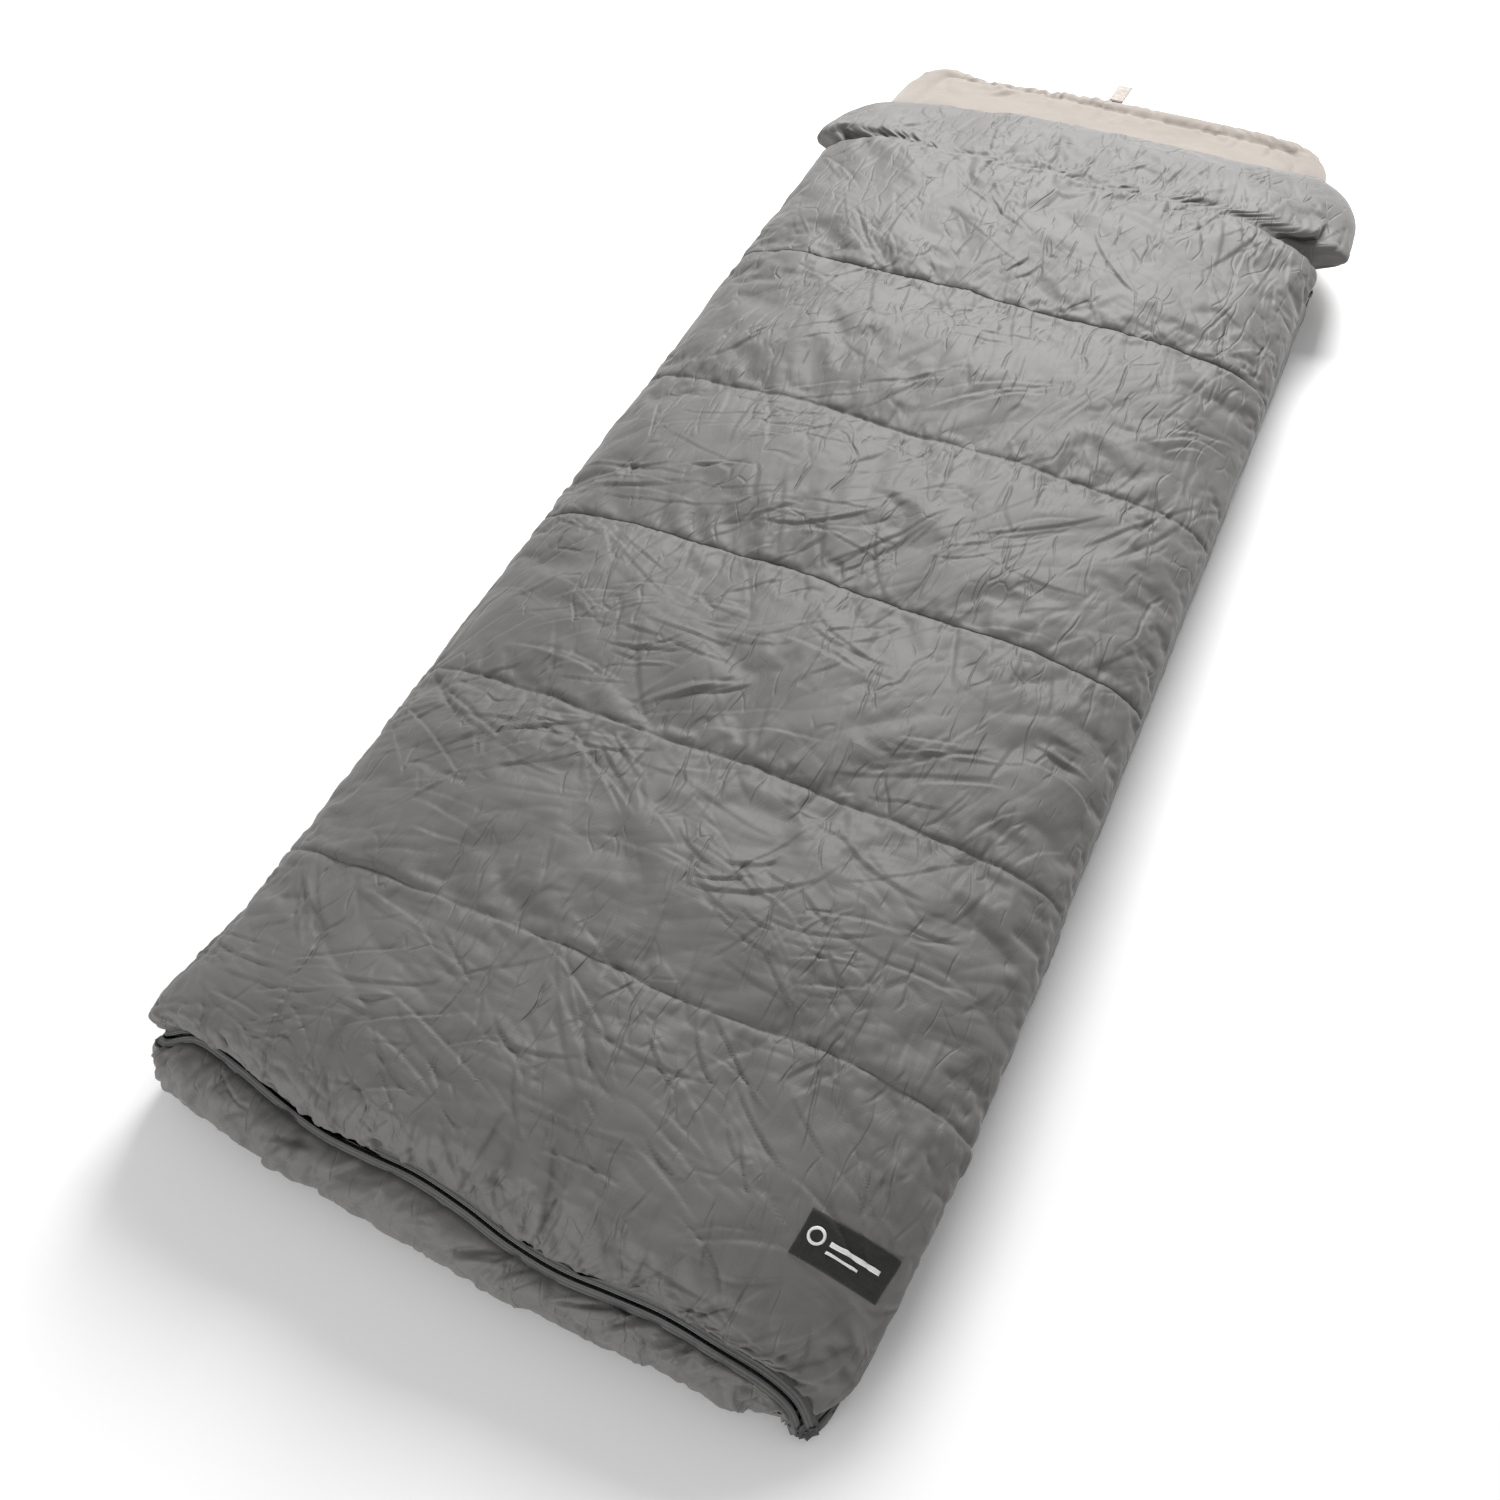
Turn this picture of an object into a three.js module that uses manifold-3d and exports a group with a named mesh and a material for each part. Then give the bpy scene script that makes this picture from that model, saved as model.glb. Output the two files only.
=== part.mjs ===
// Camp quilt set: a puffy quilt zipped on three sides to a padded mat, laid flat on the ground.
// Millimetres, +Z up, +Y towards the head, +X towards the sleeper's left when seen from the foot.
// The origin is on the ground under the middle of the mat.
import * as THREE from 'three';
import { mergeVertices } from 'three/addons/utils/BufferGeometryUtils.js';
import Module from 'manifold-3d';

const wasm = await Module();
wasm.setup();

// Driving dimensions.
const MAT_LENGTH = 2176;
const MAT_WIDTH = 748;
const MAT_HEIGHT = 70;
const MAT_FOOT_RADIUS = 70;
const MAT_HEAD_RADIUS = 95;
const MAT_CHAMBERS = 7;
const CLOTH = 2;
const GAP = 0.4;
const SLEEP_SPACE = 16;
const QUILT_CHAMBERS = [285, 268, 276, 278, 290, 313];
const QUILT_CROWN = 82;
const SEAM_DIP = 0.86;
const FLAP_LENGTH = 232;
const FLAP_HALF_WIDTH = 402;
const TURN_DOWN_SEAM = 4;
const JOINT_GAP = 1;

// The zips: woven tapes with a coil along the edge, standing against the walls.
const TAPE = 1.2;
const TAPE_WIDTH = 17;
const COIL = 3;
const COIL_GAP = 2;
const COIL_ROOT = 0.3;
const SLIDER_LENGTH = 16;
const PULL_LENGTH = 26;

// Heights and lengths that follow from them.
const FOOT = -MAT_LENGTH / 2;
const HEAD = MAT_LENGTH / 2;
const HALF = MAT_WIDTH / 2;
const QUILT_FOOT = FOOT;
const QUILT_BASE = MAT_HEIGHT + SLEEP_SPACE;
const EDGES = [QUILT_FOOT];
QUILT_CHAMBERS.forEach((length) => EDGES.push(EDGES[EDGES.length - 1] + length));
const TURN_DOWN_Y = EDGES[TURN_DOWN_SEAM];
const NECK_Y = EDGES[EDGES.length - 1];
const FLAP_END = NECK_Y + FLAP_LENGTH;
const ZIP_X = HALF + GAP + COIL / 2;
const ZIP_MIDDLE = MAT_HEIGHT + SLEEP_SPACE - 7;
const ZIP_END = NECK_Y - 4;

const COLOURS = {
  shell: { color: 0x6b6a68, roughness: 0.62, metalness: 0 },
  lining: { color: 0xcac0b8, roughness: 0.9, metalness: 0 },
  fill: { color: 0xf2f1ec, roughness: 1, metalness: 0 },
  tape: { color: 0x3d3d3c, roughness: 0.85, metalness: 0 },
  coil: { color: 0x2f2f2f, roughness: 0.45, metalness: 0 },
  metal: { color: 0x4a4a4a, roughness: 0.35, metalness: 0.9 },
  label: { color: 0x171716, roughness: 0.8, metalness: 0 },
  elastic: { color: 0x8a8884, roughness: 0.8, metalness: 0 },
  webbing: { color: 0xc8beb2, roughness: 0.85, metalness: 0 },
};

const model = new THREE.Group();

function addPiece(name, look, geometry) {
  const mesh = new THREE.Mesh(geometry, new THREE.MeshStandardMaterial(COLOURS[look]));
  mesh.name = name;
  model.add(mesh);
}

// Solids: conversion to and from the boolean library.
function toSolid(geometry) {
  const bare = geometry.clone();
  bare.deleteAttribute('normal');
  bare.deleteAttribute('uv');
  const merged = mergeVertices(bare, 1e-4);
  const vertProperties = new Float32Array(merged.attributes.position.array);
  const triVerts = new Uint32Array(merged.index.array);
  return new wasm.Manifold(new wasm.Mesh({ numProp: 3, vertProperties, triVerts }));
}

function toGeometry(solid) {
  const mesh = solid.getMesh();
  const geometry = new THREE.BufferGeometry();
  geometry.setAttribute('position', new THREE.BufferAttribute(mesh.vertProperties, 3));
  geometry.setIndex(new THREE.BufferAttribute(mesh.triVerts, 1));
  return geometry;
}

function join(...geometries) {
  return toGeometry(geometries.map(toSolid).reduce((a, b) => a.add(b)));
}

function cut(geometry, ...tools) {
  return toGeometry(tools.map(toSolid).reduce((a, b) => a.subtract(b), toSolid(geometry)));
}

function common(a, b) {
  return toGeometry(toSolid(a).intersect(toSolid(b)));
}

// A box given by its span along each axis.
function box(...spans) {
  const geometry = new THREE.BoxGeometry(...spans.map(([low, high]) => high - low));
  return geometry.translate(...spans.map(([low, high]) => (low + high) / 2));
}

// The span of `width` about a middle.
function about(middle, width) {
  return [middle - width / 2, middle + width / 2];
}

// A vertical prism over a plan outline.
function prism(shape, z0, z1, curveSegments = 8) {
  const geometry = new THREE.ExtrudeGeometry(shape, { depth: z1 - z0, bevelEnabled: false, curveSegments });
  return geometry.translate(0, 0, z0);
}

// The mat's plan, drawn in by `inset` all round.
function matPlan(inset) {
  const shape = new THREE.Shape();
  const x = HALF - inset;
  const foot = MAT_FOOT_RADIUS - inset;
  const head = MAT_HEAD_RADIUS - inset;
  const y0 = FOOT + inset;
  const y1 = HEAD - inset;
  shape.moveTo(-x + foot, y0);
  shape.lineTo(x - foot, y0);
  shape.absarc(x - foot, y0 + foot, foot, -Math.PI / 2, 0, false);
  shape.lineTo(x, y1 - head);
  shape.absarc(x - head, y1 - head, head, 0, Math.PI / 2, false);
  shape.lineTo(-x + head, y1);
  shape.absarc(-x + head, y1 - head, head, Math.PI / 2, Math.PI, false);
  shape.lineTo(-x, y0 + foot);
  shape.absarc(-x + foot, y0 + foot, foot, Math.PI, 1.5 * Math.PI, false);
  return shape;
}

// A closed body through rings of [x, y, z] points with equal counts; the end rings are capped.
function loft(rings) {
  const count = rings[0].length;
  const positions = rings.flat(2);
  const index = [];
  for (let r = 0; r + 1 < rings.length; r += 1) {
    for (let i = 0; i < count; i += 1) {
      const a = r * count + i;
      const b = r * count + ((i + 1) % count);
      index.push(a, a + count, b);
      index.push(b, a + count, b + count);
    }
  }
  const flat = rings[0].map(([x, , z]) => new THREE.Vector2(x, z));
  const last = (rings.length - 1) * count;
  for (const [a, b, c] of THREE.ShapeUtils.triangulateShape(flat, [])) {
    index.push(a, b, c);
    index.push(last + a, last + c, last + b);
  }
  const geometry = new THREE.BufferGeometry();
  geometry.setAttribute('position', new THREE.Float32BufferAttribute(positions, 3));
  geometry.setIndex(index);
  return geometry;
}

// How full the quilt stands at y: crowned between seams, dipped at each seam.
function crownAt(y) {
  const chamber = QUILT_CHAMBERS.findIndex((length, i) => y < EDGES[i] + length);
  if (chamber < 0 || y < QUILT_FOOT) {
    return SEAM_DIP;
  }
  const s = (y - EDGES[chamber]) / QUILT_CHAMBERS[chamber];
  return SEAM_DIP + (1 - SEAM_DIP) * Math.sin(Math.PI * s) ** 0.6;
}

// The foot end comes down and its corners are rounded.
function footRound(distance, reach) {
  const t = 1 - Math.min(Math.max(distance, 0) / reach, 1);
  return Math.sqrt(1 - t * t);
}

function quiltSection(y, inset) {
  const corner = HALF - MAT_FOOT_RADIUS + MAT_FOOT_RADIUS * footRound(y - QUILT_FOOT, MAT_FOOT_RADIUS);
  const fall = 0.4 + 0.6 * footRound(y - QUILT_FOOT, 90);
  return { width: corner - inset, height: QUILT_CROWN * crownAt(y) * fall - inset };
}

// The neck flap: a soft roll, a little wider than the quilt, that thins to its hem.
function flapSection(y, inset) {
  const s = (y - NECK_Y) / FLAP_LENGTH;
  const swell = 0.72 + 0.16 * Math.sin(Math.PI * Math.min(s * 1.25, 1)) - 0.3 * s ** 3;
  const width = FLAP_HALF_WIDTH - 18 * (2 * s - 1) ** 4;
  return { width: width - inset, height: QUILT_CROWN * swell - inset };
}

// Points of a section's crown, from the right-hand edge over the top to the left-hand edge.
function crownPoints(section, y, inset, from = 0, to = Math.PI, steps = 14) {
  const { width, height } = section(y, inset);
  const points = [];
  for (let i = 0; i <= steps; i += 1) {
    const t = from + ((to - from) * i) / steps;
    const x = width * Math.sign(Math.cos(t)) * Math.abs(Math.cos(t)) ** 0.5;
    const z = QUILT_BASE + height * Math.abs(Math.sin(t)) ** 0.75;
    points.push([x, y, z]);
  }
  return points;
}

// Where each station's ring goes when a body's two ends are drawn in by `trim`.
function trimmed(stations, trim) {
  const last = stations.length - 1;
  return stations.map((y, i) => y + (i === 0 ? trim : 0) - (i === last ? trim : 0));
}

// A solid under the crown between two stations, standing on z = floor.
function mound(section, stations, inset, floor, trim = 0) {
  const places = trimmed(stations, trim);
  return loft(stations.map((y, i) => {
    const crown = crownPoints(section, y, inset).map(([x, , z]) => [x, places[i], z]);
    const right = [crown[0][0], places[i], floor];
    const left = [crown[crown.length - 1][0], places[i], floor];
    return [right, ...(floor < QUILT_BASE ? crown : crown.slice(1, -1)), left];
  }));
}

function steps(from, to, count) {
  return Array.from({ length: count + 1 }, (_, i) => from + ((to - from) * i) / count);
}

// Stations along a run of chambers, with extra ones where the foot end rounds over.
function stationsBetween(from, to) {
  const marks = [from];
  if (from < QUILT_FOOT + 10) {
    marks.push(from + 8, from + 24, from + 50, from + 90);
  }
  const inner = QUILT_CHAMBERS.flatMap((length, i) => [0, 0.12, 0.5, 0.88].map((f) => EDGES[i] + f * length));
  marks.push(...inner.filter((y) => y > marks[marks.length - 1] + 12 && y < to - 12), to);
  return marks;
}

// Quilted covers: an outer sheet with its walls, a flat lining inside the walls.
function coverShell(section, stations, wall) {
  const outer = mound(section, stations, 0, QUILT_BASE);
  return cut(outer, mound(section, stations, wall, QUILT_BASE - 10, wall));
}

function liningSheet(section, stations, inset) {
  const places = trimmed(stations, inset);
  return loft(stations.map((y, i) => {
    const x = section(y, inset).width;
    const corners = [[x, QUILT_BASE], [x, QUILT_BASE + CLOTH], [-x, QUILT_BASE + CLOTH], [-x, QUILT_BASE]];
    return corners.map(([cornerX, z]) => [cornerX, places[i], z]);
  }));
}

function fillBatt(section, stations, inset, trim) {
  return mound(section, stations, inset, QUILT_BASE + CLOTH + GAP, trim);
}

// The mat.
const matShell = cut(
  prism(matPlan(0), 0, MAT_HEIGHT),
  prism(matPlan(CLOTH), CLOTH, MAT_HEIGHT + 1),
);
addPiece('mat_shell', 'shell', matShell);
addPiece('mat_lining', 'lining', prism(matPlan(CLOTH + GAP), MAT_HEIGHT - CLOTH, MAT_HEIGHT));
const matPitch = MAT_LENGTH / MAT_CHAMBERS;
const matBatt = prism(matPlan(CLOTH + GAP), CLOTH + GAP, MAT_HEIGHT - CLOTH - GAP);
for (let i = 0; i < MAT_CHAMBERS; i += 1) {
  const y0 = FOOT + i * matPitch + GAP;
  const slab = box([-HALF, HALF], [y0, y0 + matPitch - 2 * GAP], [0, MAT_HEIGHT]);
  addPiece(`mat_fill_${i + 1}`, 'fill', common(matBatt, slab));
}

// The quilt, in two halves that meet at the turn-down seam.
const lowerEnd = TURN_DOWN_Y - JOINT_GAP / 2;
const upperStart = TURN_DOWN_Y + JOINT_GAP / 2;
const lowerRun = stationsBetween(QUILT_FOOT, lowerEnd);
const upperRun = stationsBetween(upperStart, NECK_Y - JOINT_GAP / 2);
const LINING_INSET = CLOTH + 3 * GAP;
addPiece('quilt_lower_shell', 'shell', coverShell(quiltSection, lowerRun, CLOTH));
addPiece('quilt_lower_lining', 'lining', liningSheet(quiltSection, lowerRun, LINING_INSET));
addPiece('quilt_upper_shell', 'shell', coverShell(quiltSection, upperRun, CLOTH));
addPiece('quilt_upper_lining', 'lining', liningSheet(quiltSection, upperRun, LINING_INSET));

QUILT_CHAMBERS.forEach((length, i) => {
  const stations = stationsBetween(EDGES[i], EDGES[i] + length);
  const fill = fillBatt(quiltSection, stations, LINING_INSET + GAP, LINING_INSET + JOINT_GAP);
  addPiece(`quilt_fill_${i + 1}`, 'fill', fill);
});

// The neck flap, gathered on an elastic beside the last seam.
const ELASTIC_WIDTH = 8;
const flapRun = steps(NECK_Y + JOINT_GAP / 2, FLAP_END, 7);
addPiece('neck_flap_shell', 'shell', coverShell(flapSection, flapRun, CLOTH));
addPiece('neck_flap_lining', 'lining', liningSheet(flapSection, flapRun, LINING_INSET));
const flapFillTrim = LINING_INSET + ELASTIC_WIDTH + 2 * GAP;
addPiece('neck_flap_fill', 'fill', fillBatt(flapSection, flapRun, LINING_INSET + 3 * GAP, flapFillTrim));
const elasticY = flapRun[0] + LINING_INSET + GAP;
const elasticZ = QUILT_BASE + 30;
addPiece('neck_elastic', 'elastic', box(
  about(0, MAT_WIDTH - 60),
  [elasticY, elasticY + ELASTIC_WIDTH],
  [elasticZ, elasticZ + CLOTH],
));

// The woven label lies on the crown near the foot, on the +X side.
const LABEL = { from: 0.42, to: 1.0, y: QUILT_FOOT + 134, width: 43, lift: 0.5, thick: 1.2 };
const labelRing = (y) => [
  ...crownPoints(quiltSection, y, -LABEL.lift - LABEL.thick, LABEL.from, LABEL.to, 8),
  ...crownPoints(quiltSection, y, -LABEL.lift, LABEL.from, LABEL.to, 8).reverse(),
];
const labelStations = steps(...about(LABEL.y, LABEL.width), 3);
addPiece('label', 'label', loft(labelStations.map(labelRing)));

// Zip strips are ribbons in plan, stood on edge. Two zips start at the +X foot corner: one runs
// across the foot and up the -X side, the other straight up the +X side.
function ribbonAlong(points, thickness) {
  const left = [];
  const right = [];
  points.forEach((p, i) => {
    const before = points[Math.max(i - 1, 0)];
    const after = points[Math.min(i + 1, points.length - 1)];
    const along = new THREE.Vector2().subVectors(after, before).normalize();
    const across = new THREE.Vector2(-along.y, along.x).multiplyScalar(thickness / 2);
    left.push(p.clone().add(across));
    right.push(p.clone().sub(across));
  });
  return new THREE.Shape([...left, ...right.reverse()]);
}

const footLine = FOOT - GAP - COIL / 2;
const cornerRadius = MAT_FOOT_RADIUS + GAP + COIL / 2;
const cornerCentre = new THREE.Vector2(-HALF + MAT_FOOT_RADIUS, FOOT + MAT_FOOT_RADIUS);

// Both zips start beside the +X foot corner, one on each side of it.
const longStart = HALF - MAT_FOOT_RADIUS;
const sideStart = FOOT + MAT_FOOT_RADIUS;

// The long zip's path as far as y = end on the -X side.
function longZipPath(end) {
  const points = [new THREE.Vector2(longStart, footLine)];
  for (let i = 0; i <= 10; i += 1) {
    const angle = 1.5 * Math.PI - (i / 10) * (Math.PI / 2);
    const spoke = new THREE.Vector2(Math.cos(angle), Math.sin(angle)).multiplyScalar(cornerRadius);
    points.push(spoke.add(cornerCentre));
  }
  points.push(new THREE.Vector2(-ZIP_X, end));
  return points;
}

function sidePath(x, start, end) {
  return [new THREE.Vector2(x, start), new THREE.Vector2(x, end)];
}

const coilLow = ZIP_MIDDLE - COIL_GAP / 2 - COIL;
const coilHigh = ZIP_MIDDLE + COIL_GAP / 2;
const lowTape = [coilLow - COIL_ROOT - TAPE_WIDTH, coilLow - COIL_ROOT];
const highTape = [coilHigh + COIL + COIL_ROOT, coilHigh + COIL + COIL_ROOT + TAPE_WIDTH];

function zipStrip(name, path, tapeSpan, coilBase) {
  addPiece(`${name}_tape`, 'tape', prism(ribbonAlong(path, TAPE), ...tapeSpan));
  addPiece(`${name}_coil`, 'coil', prism(ribbonAlong(path, COIL), coilBase, coilBase + COIL));
}

zipStrip('long_zip_mat', longZipPath(ZIP_END), lowTape, coilLow);
zipStrip('long_zip_quilt', longZipPath(lowerEnd), highTape, coilHigh);
zipStrip('long_zip_upper', sidePath(-ZIP_X, upperStart, ZIP_END), highTape, coilHigh);
zipStrip('side_zip_mat', sidePath(ZIP_X, sideStart, ZIP_END), lowTape, coilLow);
zipStrip('side_zip_quilt', sidePath(ZIP_X, sideStart, lowerEnd), highTape, coilHigh);
zipStrip('side_zip_upper', sidePath(ZIP_X, upperStart, ZIP_END), highTape, coilHigh);

// The start of each zip: a retainer box on the mat's side and an insertion pin on the quilt's.
const BOX = { length: 7, width: 3 };
const PIN = { length: 10, width: 1.8, height: 9 };
const boxSpan = [coilLow - 4, ZIP_MIDDLE];
const pinSpan = [coilHigh, coilHigh + PIN.height];
const boxX = longStart + GAP;
addPiece('long_zip_box', 'metal', box([boxX, boxX + BOX.length], about(footLine, BOX.width), boxSpan));
addPiece('long_zip_pin', 'metal', box([boxX, boxX + PIN.length], about(footLine, PIN.width), pinSpan));
const boxY = sideStart - GAP;
addPiece('side_zip_box', 'metal', box(about(ZIP_X, BOX.width), [boxY - BOX.length, boxY], boxSpan));
addPiece('side_zip_pin', 'metal', box(about(ZIP_X, PIN.width), [boxY - PIN.length, boxY], pinSpan));

// Top stops: a clip past the end of each coil.
const STOP = 3;
const stopSpan = [ZIP_END + GAP, ZIP_END + GAP + STOP];
for (const [zip, side] of [['long', -1], ['side', 1]]) {
  const across = about(side * ZIP_X, STOP);
  addPiece(`${zip}_zip_mat_stop`, 'metal', box(across, stopSpan, [coilLow, coilLow + COIL]));
  addPiece(`${zip}_zip_quilt_stop`, 'metal', box(across, stopSpan, [coilHigh, coilHigh + COIL]));
}

// A slider straddles the mat's coil: an outer plate, a tongue between the coils and an inner plate.
// It carries an upright pin, on which the pull tab turns.
const PIN_OUT = 7;
const PIN_RADIUS = 0.9;
const sliderY = ZIP_END - SLIDER_LENGTH / 2 - 1;

function uprightRod(radius, z0, z1, out) {
  const rod = new THREE.CylinderGeometry(radius, radius, z1 - z0, 16).rotateX(Math.PI / 2);
  return rod.translate(out, sliderY, (z0 + z1) / 2);
}

function slider() {
  const length = about(sliderY, SLIDER_LENGTH);
  const face = ZIP_X + COIL / 2 + GAP;
  const back = ZIP_X - COIL / 2 - GAP;
  const tongueTop = coilHigh - 0.5;
  const outer = box([face, face + 1.8], length, [coilLow - 2, coilHigh + COIL + 1]);
  const tongue = box([back - 1, face + 1], about(sliderY, 8), [coilLow + COIL + 0.4, tongueTop]);
  const inner = box([back - 1.6, back], length, [MAT_HEIGHT + 1.5, tongueTop]);
  const lugs = [-5.5, 4].map((rise) => {
    const z = ZIP_MIDDLE + rise;
    return box([face + 1, ZIP_X + PIN_OUT + 1.4], about(sliderY, 3.2), [z, z + 1.5]);
  });
  const pin = uprightRod(PIN_RADIUS, ...about(ZIP_MIDDLE, 10), ZIP_X + PIN_OUT);
  return join(outer, tongue, inner, ...lugs, pin);
}

function pullTab() {
  const out = ZIP_X + PIN_OUT;
  const height = about(ZIP_MIDDLE, 6.4);
  const plate = box(about(out, 1.6), [sliderY - PULL_LENGTH, sliderY], height);
  const eye = uprightRod(2.3, ...height, out);
  return cut(join(plate, eye), uprightRod(PIN_RADIUS + 0.4, ...about(ZIP_MIDDLE, 8), out));
}

// A mirrored copy, with its faces still pointing out.
function mirrored(geometry) {
  return toGeometry(toSolid(geometry).mirror([1, 0, 0]));
}

addPiece('side_zip_slider', 'metal', slider());
addPiece('side_zip_pull', 'metal', pullTab());
addPiece('long_zip_slider', 'metal', mirrored(slider()));
addPiece('long_zip_pull', 'metal', mirrored(pullTab()));

// Folded webbing tabs on the mat: one at the head, one near the -X foot corner.
const HEAD_TAB = { x: -36, width: 23, reach: 34, z: 34, thick: 3 };
addPiece('head_tab', 'webbing', box(
  about(HEAD_TAB.x, HEAD_TAB.width),
  [HEAD + GAP, HEAD + HEAD_TAB.reach],
  [HEAD_TAB.z, HEAD_TAB.z + HEAD_TAB.thick],
));
const FOOT_TAB = { y: FOOT + MAT_FOOT_RADIUS + 27, width: 14, reach: 16, z: 14, thick: 2.5 };
addPiece('foot_tab', 'webbing', box(
  [-HALF - FOOT_TAB.reach, -HALF - GAP],
  about(FOOT_TAB.y, FOOT_TAB.width),
  [FOOT_TAB.z, FOOT_TAB.z + FOOT_TAB.thick],
));

export default model;
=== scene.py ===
"""Camp quilt set: the looks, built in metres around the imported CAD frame."""

import math

import bpy
import numpy as np
from mathutils import Matrix, Vector, noise


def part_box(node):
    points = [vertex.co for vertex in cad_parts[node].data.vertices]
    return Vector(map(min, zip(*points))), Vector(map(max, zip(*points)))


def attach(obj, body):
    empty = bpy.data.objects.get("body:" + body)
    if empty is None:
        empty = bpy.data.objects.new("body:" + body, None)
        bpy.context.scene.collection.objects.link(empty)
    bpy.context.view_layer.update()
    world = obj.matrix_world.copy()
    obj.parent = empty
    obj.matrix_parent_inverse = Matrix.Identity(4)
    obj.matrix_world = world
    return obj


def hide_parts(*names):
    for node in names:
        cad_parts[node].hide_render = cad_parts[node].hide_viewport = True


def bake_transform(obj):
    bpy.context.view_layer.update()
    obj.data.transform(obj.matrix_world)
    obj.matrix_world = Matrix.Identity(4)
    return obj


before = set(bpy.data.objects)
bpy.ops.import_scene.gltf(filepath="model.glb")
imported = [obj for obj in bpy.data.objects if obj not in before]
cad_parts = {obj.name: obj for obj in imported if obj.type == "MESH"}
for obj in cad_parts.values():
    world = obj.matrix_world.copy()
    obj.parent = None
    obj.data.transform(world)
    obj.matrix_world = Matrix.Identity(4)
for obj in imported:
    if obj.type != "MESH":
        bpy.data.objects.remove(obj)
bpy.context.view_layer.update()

# ---------------------------------------------------------------- places read from the frame
MAT_LOW, MAT_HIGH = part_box("mat_shell")
QUILT_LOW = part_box("quilt_lower_shell")[0]
UPPER_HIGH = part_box("quilt_upper_shell")[1]
FLAP_LOW, FLAP_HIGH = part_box("neck_flap_shell")
FOOT, HEAD = MAT_LOW.y, MAT_HIGH.y
HALF = MAT_HIGH.x
MAT_TOP = MAT_HIGH.z
BASE = QUILT_LOW.z
NECK = (UPPER_HIGH.y + FLAP_LOW.y) / 2
CHAMBERS = 6
SEAMS = [
    (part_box(f"quilt_fill_{i}")[1].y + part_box(f"quilt_fill_{i + 1}")[0].y) / 2
    for i in range(1, CHAMBERS)
] + [NECK]
TURN = SEAMS[3]
ZIP_X = (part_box("side_zip_mat_tape")[0].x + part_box("side_zip_mat_tape")[1].x) / 2
ZIP_Z = (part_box("side_zip_mat_coil")[1].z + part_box("side_zip_quilt_coil")[0].z) / 2
ZIP_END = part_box("side_zip_mat_tape")[1].y

# ---------------------------------------------------------------- small tools
RNG = np.random.RandomState(7)


def smooth(t):
    t = np.clip(t, 0.0, 1.0)
    return t * t * (3 - 2 * t)


def bump(t, centre, width):
    return np.exp(-(((t - centre) / width) ** 2))


def spline(points, steps):
    """A Catmull-Rom curve through the points, with `steps` samples for each span."""
    p = np.array(points, float)
    p = np.vstack([2 * p[0] - p[1], p, 2 * p[-1] - p[-2]])
    t = np.linspace(0, 1, steps, endpoint=False)[:, None]
    spans = []
    for a, b, c, d in zip(p[:-3], p[1:-2], p[2:-1], p[3:]):
        square, cube = 2 * a - 5 * b + 4 * c - d, 3 * b - a - 3 * c + d
        spans.append(0.5 * (2 * b + (c - a) * t + square * t**2 + cube * t**3))
    return np.vstack([*spans, p[-2:-1]])


def arc_lengths(points):
    return np.concatenate([[0], np.cumsum(np.linalg.norm(np.diff(points, axis=0), axis=1))])


def resample(points, count):
    """`count` points spaced evenly along a polyline."""
    s = arc_lengths(points)
    at = np.linspace(0, s[-1], count)
    return np.stack([np.interp(at, s, points[:, k]) for k in range(points.shape[1])], -1)


def refine(grid):
    """A grid of points with twice the rows and columns, through the old points on smooth curves."""
    for axis in (0, 1):
        g = np.moveaxis(grid, axis, 0)
        ends = np.concatenate([2 * g[:1] - g[1:2], g, 2 * g[-1:] - g[-2:-1]])
        middle = (9 * (ends[1:-2] + ends[2:-1]) - ends[:-3] - ends[3:]) / 16
        out = np.empty((2 * len(g) - 1, *g.shape[1:]))
        out[0::2] = g
        out[1::2] = middle
        grid = np.moveaxis(out, 0, axis)
    return grid


def grid_normals(grid):
    du = np.gradient(grid, axis=1)
    dv = np.gradient(grid, axis=0)
    n = np.cross(du, dv)
    return n / np.maximum(np.linalg.norm(n, axis=-1, keepdims=True), 1e-12)


def noise_field(grid, scale, seed=0.0):
    """Smooth noise at each point of a grid, from -1 to 1."""
    shift = Vector((seed * 7.3, seed * 3.1, seed * 5.7))
    flat = grid.reshape(-1, 3)
    values = [noise.noise(Vector(p) / scale + shift) for p in flat]
    return np.array(values).reshape(grid.shape[:2])


def grain(u, v, seed):
    """Gradient noise in two dimensions for whole arrays, about -0.7 to 0.7, with a cell of 1."""
    table = np.random.RandomState(seed)
    turn = table.permutation(256)
    angle = table.uniform(0, 2 * math.pi, 256)
    u0, v0 = np.floor(u).astype(int), np.floor(v).astype(int)
    fu, fv = u - u0, v - v0
    su, sv = fu**3 * (fu * (fu * 6 - 15) + 10), fv**3 * (fv * (fv * 6 - 15) + 10)

    def corner(i, j):
        a = angle[turn[(turn[(u0 + i) % 256] + v0 + j) % 256]]
        return np.cos(a) * (fu - i) + np.sin(a) * (fv - j)

    low = corner(0, 0) * (1 - su) + corner(1, 0) * su
    high = corner(0, 1) * (1 - su) + corner(1, 1) * su
    return low * (1 - sv) + high * sv


def crumple(u, v, angle, long, short, seed):
    """Long wandering folds at an angle in degrees: 0 along a sharp crease, up to about 1 between them."""
    a = math.radians(angle)
    p, q = (u * math.cos(a) + v * math.sin(a)) / long, (v * math.cos(a) - u * math.sin(a)) / short
    p = p + 0.45 * grain(p * 0.8, q * 0.3, seed + 1)
    q = q + 0.55 * grain(p * 1.3, q * 0.25, seed + 2)
    return np.clip(np.abs(grain(p, q, seed)) / 0.32, 0, 1) ** 0.75


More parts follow.
